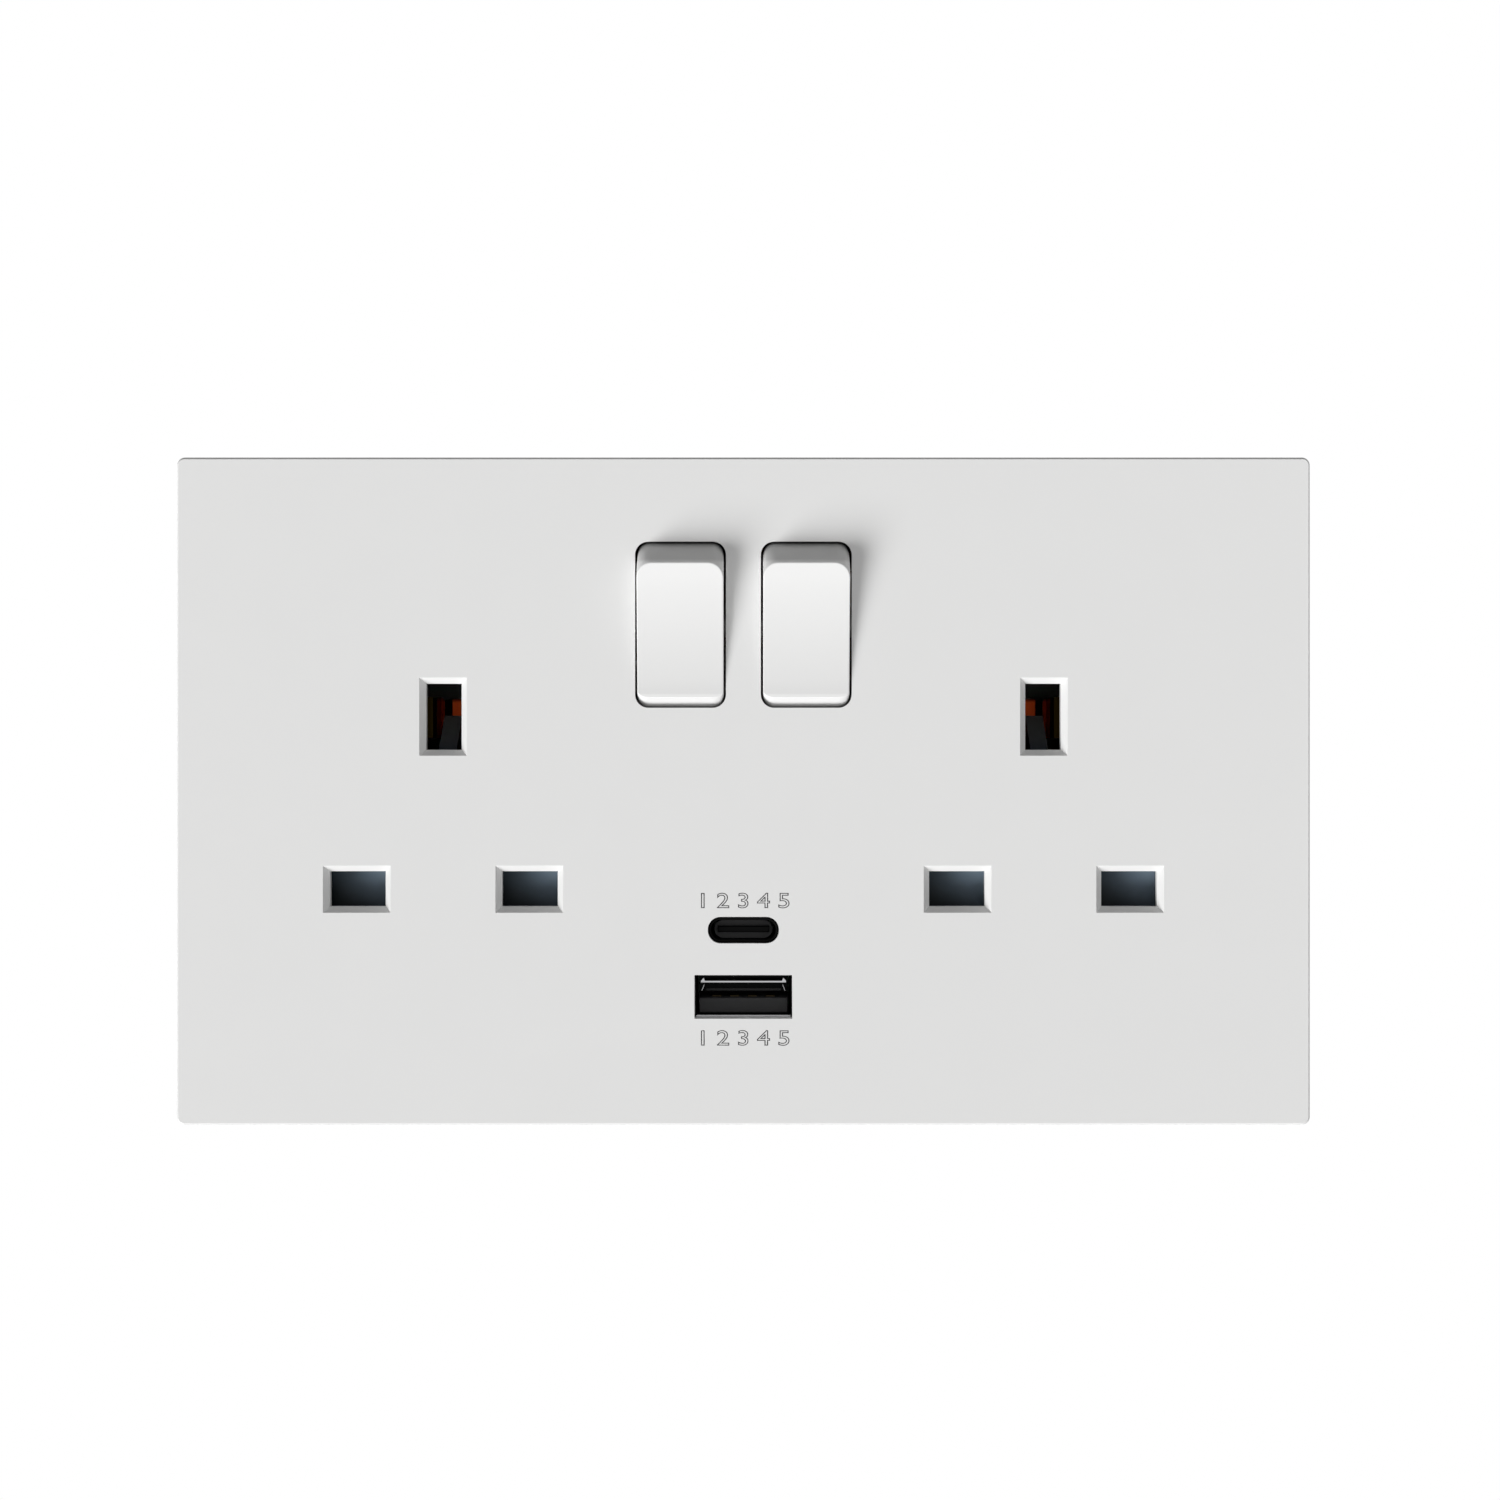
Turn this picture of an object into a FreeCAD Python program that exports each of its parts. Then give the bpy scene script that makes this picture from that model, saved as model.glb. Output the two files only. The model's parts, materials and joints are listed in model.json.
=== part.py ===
import FreeCAD, Part
import math
import os

import Sketcher

# A flat, screwless, two-gang 13 A wall socket with two rocker switches and two charging ports.
# Millimetres. X to the right, Z up, the front looks along -Y, and the origin is the middle of the
# plate on the wall's surface. Left and right are as seen from the front.

SIZES = {
    # Front plate
    "plate_width": 146.0,
    "plate_height": 86.0,
    "plate_depth": 9.0,
    "plate_skin": 2.2,
    "plate_rim": 1.8,
    "plate_corner": 1.0,
    "plate_edge": 0.3,
    # Pin slots: the earth slot stands up, the other two lie flat
    "outlet_offset": 38.7,
    "earth_height": 9.6,
    "pin_pitch": 22.23,
    "earth_slot_width": 4.6,
    "earth_slot_height": 8.55,
    "live_slot_width": 7.2,
    "live_slot_height": 4.55,
    "slot_bevel": 0.76,
    "slot_bevel_depth": 1.0,
    "slot_margin": 0.3,
    # Rocker switches
    "switch_offset": 8.1,
    "switch_height": 21.45,
    "opening_width": 11.7,
    "opening_height": 21.4,
    "opening_corner": 1.7,
    "opening_lip": 0.6,
    "opening_relief": 0.9,
    "rocker_gap": 0.25,
    "rocker_face": 18.34,
    "rocker_rise": 6.41,
    "rocker_sink": 4.54,
    "rocker_tilt": 11.0,
    "rocker_bevel": 0.9,
    "rocker_wall": 1.3,
    "rocker_skirt": 0.9,
    "rocker_ear": 2.6,
    "rocker_ear_drop": 2.3,
    "trunnion_radius": 1.5,
    "trunnion_length": 1.6,
    "bearing_gap": 0.05,
    "bearing_wall": 1.0,
    "cheek_height": 6.4,
    "cheek_thickness": 2.4,
    "hub_radius": 2.7,
    "hub_bore": 1.7,
    "hub_reach": 7.0,
    "hub_floor": 3.0,
    "plunger_radius": 1.6,
    "plunger_reach": 10.3,
    "plunger_length": 5.0,
    "plunger_gap": 0.3,
    # Mounting frame and the moulded body behind it
    "frame_gap": 0.2,
    "flange_thickness": 2.6,
    "table_skin": 2.4,
    "body_width": 114.0,
    "body_height": 69.6,
    "body_wall": 1.6,
    "housing_depth": 26.0,
    "housing_floor": 2.0,
    "fixing_pitch": 120.6,
    "fixing_radius": 2.0,
    "lug_radius": 5.0,
    "clip_width": 8.0,
    "clip_thickness": 1.3,
    "clip_pitch": 45.0,
    "clip_depth": 3.6,
    "nub_height": 0.45,
    "nub_depth": 0.8,
    "screw_offset": 50.5,
    "screw_height": 29.5,
    "screw_radius": 1.45,
    "screw_head": 2.8,
    "screw_head_depth": 1.8,
    "post_width": 7.6,
    "screw_gap": 0.1,
    "screw_reach": 3.0,
    # Safety shutters
    "shutter_gap": 0.25,
    "shutter_thickness": 2.0,
    "shutter_half_width": 15.25,
    "blade_top": 2.7,
    "blade_bottom": 4.9,
    "shutter_bar": 7.0,
    "arm_inside": 2.9,
    "arm_width": 1.7,
    "arm_top": 4.9,
    "ramp_width": 2.3,
    "ramp_depth": 7.2,
    "ramp_height": 4.8,
    "ramp_land": 0.5,
    "guide_gap": 0.3,
    "guide_rib": 1.2,
    "guide_lip": 0.5,
    "guide_foot": 1.5,
    "seat_width": 5.2,
    "seat_height": 1.5,
    "return_spring_length": 9.5,
    "return_spring_radius": 1.7,
    "return_spring_turns": 4.0,
    "plunger_spring_radius": 1.2,
    "plunger_spring_turns": 4.5,
    "wire": 0.5,
    "ledge_thickness": 1.5,
    # Folded strips: line clips in front, then the neutral strip and the line feed, then the earth strip
    "strip": 0.8,
    "line_clip_plane": 9.4,
    "feed_plane": 11.4,
    "earth_plane": 14.0,
    "leaf": 0.7,
    "clip_width_live": 6.0,
    "clip_width_earth": 5.4,
    "clip_mouth": -1.0,
    "earth_clip_mouth": 0.5,
    "clip_throat": 2.2,
    "clip_throat_gap": 3.2,
    "clip_mouth_gap": 4.9,
    "clip_base_gap": 4.8,
    "leg_width": 6.0,
    "bar_width": 4.0,
    "line_bar_height": 19.5,
    "neutral_bar_height": 1.0,
    "switch_leg": 14.5,
    # Rocking switch contacts
    "contact_length": 14.0,
    "contact_width": 4.8,
    "contact_thickness": 1.0,
    "contact_saddle": 3.0,
    "contact_dish": 0.42,
    "contact_tilt": 6.0,
    "contact_arm": 6.2,
    "button_radius": 1.6,
    "button_step": 0.25,
    "button_thickness": 0.5,
    "contact_gap": 0.05,
    # Wiring terminals
    "live_terminal_offset": 22.0,
    "earth_terminal_offset": 24.0,
    "terminal_width": 8.0,
    "terminal_length": 9.0,
    "terminal_inset": 0.7,
    "terminal_bore": 2.5,
    "terminal_wall": 1.1,
    "terminal_screw": 1.95,
    "terminal_screw_stand": 1.2,
    "driver_hole": 2.7,
    "wire_entry": 6.0,
    "cradle_wall": 1.2,
    "cradle_gap": 0.2,
    "cradle_depth": 6.0,
    # Charging ports and their board
    "small_port_height": -17.9,
    "small_port_width": 9.15,
    "small_port_opening": 3.4,
    "small_shell_width": 8.94,
    "small_shell_height": 3.16,
    "small_shell_sink": 0.6,
    "small_tongue_width": 6.69,
    "small_tongue_height": 0.7,
    "small_tongue_sink": 1.1,
    "wide_port_height": -26.5,
    "wide_port_width": 12.6,
    "wide_port_opening": 5.6,
    "wide_shell_width": 12.9,
    "wide_shell_height": 5.6,
    "wide_shell_sink": 2.4,
    "wide_tongue_width": 11.6,
    "wide_tongue_height": 2.05,
    "wide_tongue_drop": 0.4,
    "wide_tongue_sink": 1.0,
    "wide_block_front": 3.2,
    "wide_block_back": 5.5,
    "port_wall": 0.3,
    "port_margin": 0.2,
    "pad_thickness": 0.12,
    "pad_setback": 1.6,
    "board_front": 6.0,
    "board_thickness": 1.6,
    "board_width": 32.0,
    "board_top": -4.0,
    "board_bottom": -31.0,
    "board_post": 3.2,
    "board_post_inset": 2.4,
    "core_width": 15.0,
    "core_height": 13.0,
    "core_depth": 11.0,
    "core_limb": 3.0,
    "core_offset": -5.0,
    "core_centre": -19.5,
    "winding_stand": 1.5,
    "capacitor_radius": 3.2,
    "capacitor_length": 10.5,
    "capacitor_offset": 10.0,
    "capacitor_upper": -12.0,
    "capacitor_lower": -24.0,
    "chip_width": 4.9,
    "chip_height": 3.9,
    "chip_thickness": 1.4,
    "chip_offset": 11.5,
}


class Size:
    """A size with its formula in the sheet's names, and its number for a sketch's first shape."""

    def __init__(self, text, number):
        self.text = text
        self.number = number

    def __add__(self, other):
        other = sized(other)
        return Size(f"({self.text} + {other.text})", self.number + other.number)

    def __sub__(self, other):
        other = sized(other)
        return Size(f"({self.text} - {other.text})", self.number - other.number)

    def __mul__(self, other):
        other = sized(other)
        return Size(f"({self.text} * {other.text})", self.number * other.number)

    def __truediv__(self, other):
        other = sized(other)
        return Size(f"({self.text} / {other.text})", self.number / other.number)

    def __radd__(self, other):
        return sized(other) + self

    def __rsub__(self, other):
        return sized(other) - self

    def __rmul__(self, other):
        return sized(other) * self

    def __neg__(self):
        return sized(0) - self


def sized(number):
    return number if isinstance(number, Size) else Size(str(float(number)), float(number))


def root(size):
    return Size(f"sqrt({size.text})", math.sqrt(size.number))


def sine(angle):
    return Size(f"sin({angle.text})", math.sin(math.radians(angle.number)))


def cosine(angle):
    return Size(f"cos({angle.text})", math.cos(math.radians(angle.number)))


def slope(rise, run):
    """The angle, in degrees, of a face that moves in by rise over a depth of run."""
    return Size(f"atan({rise.text} / {run.text})", math.degrees(math.atan2(rise.number, run.number)))


class Dimensions:
    """The sheet's sizes by name."""


doc = FreeCAD.newDocument("twin_socket")
sheet = doc.addObject("Spreadsheet::Sheet", "Sizes")
dim = Dimensions()
for row, (name, number) in enumerate(SIZES.items(), 1):
    sheet.set(f"A{row}", name)
    sheet.set(f"B{row}", str(number))
    sheet.setAlias(f"B{row}", name)
    setattr(dim, name, Size(f"Sizes.{name}", number))
doc.recompute()

SIDES = (("left", -1), ("right", 1))
nodes = []


# Drawing helpers

PLANES = {"front": "XZ_Plane", "top": "XY_Plane", "side": "YZ_Plane"}


def bind(item, path, size):
    item.setExpression(path, sized(size).text)


def piece(label, x=0, y=0, z=0, turn=None, sense=1):
    """A new body with its own frame at x, y, z, turned about X, or about -X where sense is -1."""
    body = doc.addObject("PartDesign::Body", label)
    body.Label = label
    place(body, x, y, z, turn, sense)
    nodes.append(body)
    return body


def place(item, x, y, z, turn=None, sense=1):
    if turn is not None:
        turned = FreeCAD.Rotation(FreeCAD.Vector(sense, 0, 0), sized(turn).number)
        item.Placement = FreeCAD.Placement(FreeCAD.Vector(0, 0, 0), turned)
        bind(item, "Placement.Rotation.Angle", turn)
    for axis, size in zip("xyz", (x, y, z)):
        bind(item, f"Placement.Base.{axis}", size)


def sketch_at(body, view, at):
    """A sketch seen from the front (X, Z), the top (X, Y) or the right side (Y, Z)."""
    plane = next(item for item in body.Origin.OriginFeatures if item.Role == PLANES[view])
    sketch = body.newObject("Sketcher::SketchObject", f"{body.Name}_{view}_sketch")
    sketch.AttachmentSupport = [(plane, "")]
    sketch.MapMode = "FlatFace"
    at = sized(at)
    bind(sketch, "AttachmentOffset.Base.z", -at if view == "front" else at)
    return sketch


def arc_between(start, end, radius, left_turn):
    """The short arc from start to end, and the order of its two ends in a sketch."""
    chord = end - start
    rise = math.sqrt(max(radius**2 - (chord.Length / 2) ** 2, 0))
    side = FreeCAD.Vector(-chord.y, chord.x, 0).normalize() * (rise if left_turn else -rise)
    centre = (start + end) / 2 + side
    circle = Part.Circle(centre, FreeCAD.Vector(0, 0, 1), radius)
    angles = [math.atan2(point.y - centre.y, point.x - centre.x) for point in (start, end)]
    if not left_turn:
        angles.reverse()
    return Part.ArcOfCircle(circle, *angles), (1, 2) if left_turn else (2, 1)


def outline(corners, bulges=None, hollows=None):
    """A closed outline. An arc leaves each corner numbered in bulges (turning left) or hollows."""
    corners = [(sized(x), sized(y)) for x, y in corners]
    bulges = bulges or {}
    hollows = hollows or {}

    def draw(sketch):
        first = sketch.GeometryCount
        points = [FreeCAD.Vector(x.number, y.number, 0) for x, y in corners]
        shapes = []
        ends = []
        for number, point in enumerate(points):
            following = points[(number + 1) % len(points)]
            if number in bulges or number in hollows:
                radius = bulges.get(number) or hollows[number]
                shape, order = arc_between(point, following, radius.number, number in bulges)
            else:
                shape, order = Part.LineSegment(point, following), (1, 2)
            shapes.append(shape)
            ends.append(order)
        sketch.addGeometry(shapes, False)
        rules = []
        sizes = []
        for number, (x, y) in enumerate(corners):
            behind = number - 1 if number else len(corners) - 1
            joint = ("Coincident", first + behind, ends[behind][1], first + number, ends[number][0])
            rules.append(Sketcher.Constraint(*joint))
            sizes.append(None)
            for kind, size in (("DistanceX", x), ("DistanceY", y)):
                rule = (kind, -1, 1, first + number, ends[number][0], size.number)
                rules.append(Sketcher.Constraint(*rule))
                sizes.append(size)
        for number, radius in (bulges | hollows).items():
            rules.append(Sketcher.Constraint("Radius", first + number, radius.number))
            sizes.append(radius)
        constrain(sketch, rules, sizes)

    return draw


def constrain(sketch, rules, sizes):
    start = sketch.ConstraintCount
    sketch.addConstraint(rules)
    for number, size in enumerate(sizes, start):
        if size is not None:
            bind(sketch, f"Constraints[{number}]", size)


def oblong(x, y, width, height, corner=None):
    """A rectangle about x, y, with round corners where a corner radius is given."""
    left, right = x - width / 2, x + width / 2
    low, high = y - height / 2, y + height / 2
    if corner is None:
        return outline([(left, low), (right, low), (right, high), (left, high)])
    corners = [
        (left + corner, low),
        (right - corner, low),
        (right, low + corner),
        (right, high - corner),
        (right - corner, high),
        (left + corner, high),
        (left, high - corner),
        (left, low + corner),
    ]
    return outline(corners, bulges={number: corner for number in (1, 3, 5, 7)})


def between(left, low, right, high):
    return outline([(left, low), (right, low), (right, high), (left, high)])


def disc(x, y, radius):
    x, y, radius = sized(x), sized(y), sized(radius)

    def draw(sketch):
        number = sketch.GeometryCount
        centre = FreeCAD.Vector(x.number, y.number, 0)
        sketch.addGeometry(Part.Circle(centre, FreeCAD.Vector(0, 0, 1), radius.number), False)
        rules = [
            Sketcher.Constraint("DistanceX", -1, 1, number, 3, x.number),
            Sketcher.Constraint("DistanceY", -1, 1, number, 3, y.number),
            Sketcher.Constraint("Radius", number, radius.number),
        ]
        constrain(sketch, rules, [x, y, radius])

    return draw


def feature(kind, body, view, start, end, shapes, taper):
    """Pads or pockets the drawn shapes from start to end along the view's axis."""
    sketch = sketch_at(body, view, start)
    for draw in shapes:
        draw(sketch)
    item = body.newObject(kind, f"{body.Name}_feature")
    item.Profile = sketch
    bind(item, "Length", sized(end) - start)
    if taper is not None:
        bind(item, "TaperAngle", taper)
    return item


def volume(body):
    return body.Tip.Shape.Volume if body.Tip else 0.0


def add(body, view, start, end, *shapes, taper=None):
    before = volume(body)
    pad = feature("PartDesign::Pad", body, view, start, end, shapes, taper)
    pad.Reversed = view == "front"
    body.recompute(True)
    if volume(body) <= before:
        raise RuntimeError(f"{pad.Name} adds nothing")


def cut(body, view, start, end, *shapes, taper=None):
    before = volume(body)
    pocket = feature("PartDesign::Pocket", body, view, start, end, shapes, taper)
    pocket.Reversed = view != "front"
    body.recompute(True)
    if volume(body) >= before:
        raise RuntimeError(f"{pocket.Name} cuts nothing")


def soften(body, radius, chosen, kind="Fillet"):
    """Rounds or chamfers the edges of the body that chosen picks."""
    base = body.Tip
    edges = [f"Edge{number}" for number, edge in enumerate(base.Shape.Edges, 1) if chosen(edge)]
    edge = body.newObject(f"PartDesign::{kind}", f"{body.Name}_edge")
    edge.Base = (base, edges)
    bind(edge, "Radius" if kind == "Fillet" else "Size", radius)
    body.recompute(True)


def near(number, size, slack=0.01):
    return abs(number - sized(size).number) < slack


def level_at(y):
    """Picks the edges that lie at one depth."""
    return lambda edge: near(edge.BoundBox.YMin, y) and near(edge.BoundBox.YMax, y)


# Depths along Y, from the front to the back

plate_front = -dim.plate_depth
table_front = plate_front + dim.plate_skin
table_back = table_front + dim.table_skin
flange_front = -dim.flange_thickness
shutter_front = table_back + dim.shutter_gap
shutter_back = shutter_front + dim.shutter_thickness
pivot_depth = plate_front + dim.rocker_sink
saddle_front = pivot_depth + dim.plunger_reach + dim.plunger_gap
knife_edge = saddle_front + dim.contact_thickness
strip_seat = dim.earth_plane + dim.strip
housing_inside = dim.housing_depth - dim.housing_floor
board_back = dim.board_front + dim.board_thickness

# Heights and places across

live_height = dim.earth_height - dim.pin_pitch
half_pitch = dim.pin_pitch / 2
inner_width = dim.plate_width - 2 * dim.plate_rim
inner_height = dim.plate_height - 2 * dim.plate_rim
body_top = dim.body_height / 2
rocker_width = dim.opening_width - 2 * dim.rocker_gap
rocker_radius = root(dim.rocker_rise * dim.rocker_rise + dim.rocker_face * dim.rocker_face / 4)
well_width = dim.opening_width + dim.guide_gap
well_height = dim.opening_height + 2 * dim.opening_relief
terminal_height = body_top - dim.body_wall - dim.terminal_inset - dim.terminal_length / 2
terminal_bore_depth = strip_seat + dim.terminal_wall + dim.terminal_bore
ledge_top = live_height - dim.blade_bottom - dim.return_spring_length


def pin_places():
    """Each slot's middle, with its width and height."""
    for _, side in SIDES:
        centre = side * dim.outlet_offset
        yield centre, dim.earth_height, dim.earth_slot_width, dim.earth_slot_height
        for offset in (-half_pitch, half_pitch):
            yield centre + offset, live_height, dim.live_slot_width, dim.live_slot_height


def rocker_openings(width, height, corner=None):
    for _, side in SIDES:
        yield oblong(side * dim.switch_offset, dim.switch_height, width, height, corner)


def port_openings():
    high = dim.small_port_opening
    corner = high / 2 - dim.port_wall / 4
    yield oblong(sized(0), dim.small_port_height, dim.small_port_width, high, corner)
    high = dim.wide_port_opening
    yield oblong(sized(0), dim.wide_port_height, dim.wide_port_width, high)


def body_outline(inset):
    """The moulded body's outline, with a hollow on each side for the wall box's screw lug."""
    right = dim.body_width / 2 - inset
    high = body_top - inset
    bite = dim.lug_radius + inset
    reach = dim.fixing_pitch / 2 - right
    dip = root(bite * bite - reach * reach)
    corners = [
        (-right, -high),
        (right, -high),
        (right, -dip),
        (right, dip),
        (right, high),
        (-right, high),
        (-right, dip),
        (-right, -dip),
    ]
    return outline(corners, hollows={2: bite, 6: bite})


def screw_places():
    for _, across in SIDES:
        for up in (-1, 1):
            yield across * dim.screw_offset, up * dim.screw_height


def clip_places():
    """Where the plate clips on the table: three places along the top and three along the bottom."""
    for up in (-1, 1):
        for across in (-1, 0, 1):
            yield across * dim.clip_pitch, up


# Front plate

def face_plate():
    body = piece("face_plate")
    add(
        body,
        "front",
        plate_front,
        0,
        oblong(sized(0), sized(0), dim.plate_width, dim.plate_height, dim.plate_corner),
    )
    soften(body, dim.plate_edge, level_at(plate_front), kind="Chamfer")
    cut(body, "front", table_front, 0, oblong(sized(0), sized(0), inner_width, inner_height))
    openings = list(rocker_openings(dim.opening_width, dim.opening_height, dim.opening_corner))
    cut(body, "front", plate_front, table_front, *openings, *port_openings())
    reliefs = rocker_openings(well_width, well_height)
    cut(body, "front", plate_front + dim.opening_lip, table_front, *reliefs)
    bevels = [
        oblong(x, z, width + 2 * dim.slot_bevel, height + 2 * dim.slot_bevel)
        for x, z, width, height in pin_places()
    ]
    narrowing = slope(-dim.slot_bevel, dim.slot_bevel_depth)
    cut(body, "front", plate_front, plate_front + dim.slot_bevel_depth, *bevels, taper=narrowing)
    slots = [oblong(*slot) for slot in pin_places()]
    cut(body, "front", plate_front, table_front, *slots)
    # Legs with nubs, which snap over the long sides of the frame's table
    leg_middle = body_top + dim.frame_gap + dim.clip_thickness / 2
    legs = [
        oblong(x, up * leg_middle, dim.clip_width, dim.clip_thickness) for x, up in clip_places()
    ]
    add(body, "front", table_front, table_front + dim.clip_depth, *legs)
    nub_size = dim.nub_height + dim.frame_gap
    nub_middle = body_top + dim.frame_gap - nub_size / 2
    nubs = [oblong(x, up * nub_middle, dim.clip_width, nub_size) for x, up in clip_places()]
    nub_end = table_front + dim.clip_depth
    add(body, "front", nub_end - dim.nub_depth, nub_end, *nubs)


# Mounting frame

def mounting_frame():
    body = piece("mounting_frame")
    margin = 2 * dim.port_margin
    wide = inner_width - 2 * dim.frame_gap
    high = inner_height - 2 * dim.frame_gap
    add(body, "front", flange_front, 0, oblong(sized(0), sized(0), wide, high))
    add(body, "front", table_front, flange_front, body_outline(sized(0)))
    cut(body, "front", table_back, 0, body_outline(dim.body_wall))
    slots = [
        oblong(x, z, width + 2 * dim.slot_margin, height + 2 * dim.slot_margin)
        for x, z, width, height in pin_places()
    ]
    small_size = dim.small_port_width + margin, dim.small_port_opening + margin
    wide_size = dim.wide_shell_width + margin, dim.wide_shell_height + margin
    ports = [
        oblong(sized(0), dim.small_port_height, *small_size),
        oblong(sized(0), dim.wide_port_height, *wide_size),
    ]
    wells = rocker_openings(well_width, well_height)
    cut(body, "front", table_front, table_back, *slots, *wells, *ports)
    fixings = [disc(side * dim.fixing_pitch / 2, 0, dim.fixing_radius) for _, side in SIDES]
    cut(body, "front", flange_front, 0, *fixings)
    # Sockets for the front plate's nubs
    depth = dim.nub_height + dim.frame_gap
    sockets = [
        oblong(x, up * (body_top - depth / 2), dim.clip_width + 2 * dim.frame_gap, depth)
        for x, up in clip_places()
    ]
    socket_end = table_front + dim.clip_depth + dim.frame_gap
    cut(body, "front", socket_end - dim.nub_depth - 2 * dim.frame_gap, socket_end, *sockets)
    rocker_bearings(body)
    for _, side in SIDES:
        shutter_guides(body, side * dim.outlet_offset)
    post = dim.post_width
    bosses = [oblong(x, z, post, post) for x, z in screw_places()]
    add(body, "front", table_back, 0, *bosses)
    pilots = [disc(x, z, dim.screw_radius + dim.bearing_gap) for x, z in screw_places()]
    cut(body, "front", -dim.screw_reach - dim.screw_gap, 0, *pilots)


def rocker_bearings(body):
    """A web between the two switches and a cheek outside each, with holes for the trunnions."""
    web = 2 * dim.switch_offset - well_width
    cheek = dim.switch_offset + well_width / 2 + dim.cheek_thickness / 2
    bearings = [oblong(sized(0), dim.switch_height, web, dim.cheek_height)]
    for _, side in SIDES:
        bearings.append(
            oblong(side * cheek, dim.switch_height, dim.cheek_thickness, dim.cheek_height)
        )
    bearing_end = pivot_depth + dim.trunnion_radius + dim.bearing_wall
    add(body, "front", table_back, bearing_end, *bearings)
    reach = dim.switch_offset + rocker_width / 2 + dim.trunnion_length + dim.guide_gap
    hole = disc(pivot_depth, dim.switch_height, dim.trunnion_radius + dim.bearing_gap)
    cut(body, "side", -reach, reach, hole)


def shutter_guides(body, centre):
    """Two ribs with lips, in which the shutter's arms slide, and the ledge for its spring."""
    arm = dim.arm_inside + dim.arm_width
    rib = arm + dim.guide_gap + dim.guide_rib / 2
    low = dim.guide_foot
    high = dim.earth_height + dim.arm_top
    middle = (low + high) / 2
    lip_front = shutter_back + dim.guide_gap
    lip_back = lip_front + dim.guide_rib
    ribs = [oblong(centre + side * rib, middle, dim.guide_rib, high - low) for _, side in SIDES]
    add(body, "front", table_back, lip_back, *ribs)
    lip = dim.guide_lip + dim.guide_gap
    lip_middle = arm - dim.guide_lip + lip / 2
    lips = [oblong(centre + side * lip_middle, middle, lip, high - low) for _, side in SIDES]
    add(body, "front", lip_front, lip_back, *lips)
    ledge = oblong(centre, ledge_top - dim.ledge_thickness / 2, dim.seat_width, dim.ledge_thickness)
    add(body, "front", table_back, 0, ledge)


# Rear housing

def rear_housing():
    body = piece("rear_housing")
    add(body, "front", 0, dim.housing_depth, body_outline(sized(0)))
    cut(body, "front", 0, housing_inside, body_outline(dim.body_wall))
    post = dim.post_width
    posts = [oblong(x, z, post, post) for x, z in screw_places()]
    add(body, "front", 0, housing_inside, *posts)
    strip_supports(body)
    terminal_cradles(body)
    bores = [disc(x, z, dim.screw_radius + dim.screw_gap) for x, z in screw_places()]
    cut(body, "front", 0, dim.housing_depth, *bores)


def strip_supports(body):
    """Ribs that rise from the floor to the back of each metal strip, and posts for the board."""
    half = dim.leg_width / 2
    rib = dim.body_wall
    inner_leg = dim.outlet_offset - half_pitch
    outer_leg = dim.outlet_offset + half_pitch
    clip_rib = live_height + half
    line_back = dim.line_clip_plane + dim.strip
    feed_back = dim.feed_plane + dim.strip
    seats = {
        line_back: [
            (-inner_leg - half + rib / 2, clip_rib, rib, dim.leg_width),
            (-inner_leg - half + rib / 2, dim.line_bar_height, rib, dim.bar_width),
            (outer_leg + half - rib / 2, clip_rib, rib, dim.leg_width),
            (outer_leg - half, dim.line_bar_height, dim.leg_width, rib),
        ],
        feed_back: [
            (-outer_leg, clip_rib, rib, dim.leg_width),
            (inner_leg + half - rib / 2, clip_rib, rib, dim.leg_width),
            (sized(0), dim.neutral_bar_height, rib, dim.bar_width),
            (-dim.switch_offset, dim.switch_height, dim.bar_width, rib),
            (dim.switch_offset, dim.switch_height, dim.bar_width, rib),
        ],
        strip_seat: [
            (-dim.outlet_offset, dim.earth_height, rib, dim.leg_width),
            (dim.outlet_offset, dim.earth_height, rib, dim.leg_width),
            (sized(0), dim.earth_height, dim.leg_width, rib),
        ],
    }
    for top, ribs in seats.items():
        add(body, "front", top, housing_inside, *[oblong(*rib_size) for rib_size in ribs])
    post = dim.board_post
    posts = [oblong(x, z, post, post) for x, z in board_corners()]
    add(body, "front", board_back, housing_inside, *posts)


def terminal_places():
    """The name, place across, height and wire direction of each wiring terminal."""
    yield "neutral_terminal", -dim.live_terminal_offset, terminal_height, 1
    yield "line_terminal", dim.live_terminal_offset, terminal_height, 1
    yield "earth_terminal_left", -dim.earth_terminal_offset, -terminal_height, -1
    yield "earth_terminal_right", dim.earth_terminal_offset, -terminal_height, -1


def terminal_cradles(body):
    """Two walls beside each terminal, its screw's hole in the floor, and the window for its wires."""
    wall = dim.terminal_width / 2 + dim.cradle_gap + dim.cradle_wall / 2
    cradles = []
    screws = []
    for _, x, z, _ in terminal_places():
        for _, side in SIDES:
            cradles.append(oblong(x + side * wall, z, dim.cradle_wall, dim.terminal_length))
        screws.append(disc(x, z, dim.driver_hole))
    add(body, "front", housing_inside - dim.cradle_depth, housing_inside, *cradles)
    cut(body, "front", housing_inside, dim.housing_depth, *screws)
    entries = {1: [], -1: []}
    for _, x, _, up in terminal_places():
        entries[up].append(oblong(x, terminal_bore_depth, dim.wire_entry, dim.wire_entry))
    cut(body, "top", body_top - dim.body_wall, body_top, *entries[1])
    cut(body, "top", -body_top, dim.body_wall - body_top, *entries[-1])


# Screws

def turned(name, radius, x, start, end, z):
    """A cylinder along Y, from start to end."""
    item = doc.addObject("Part::Cylinder", name)
    item.Label = name
    bind(item, "Radius", radius)
    bind(item, "Height", end - start)
    place(item, x, start, z, 90, sense=-1)
    return item


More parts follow.
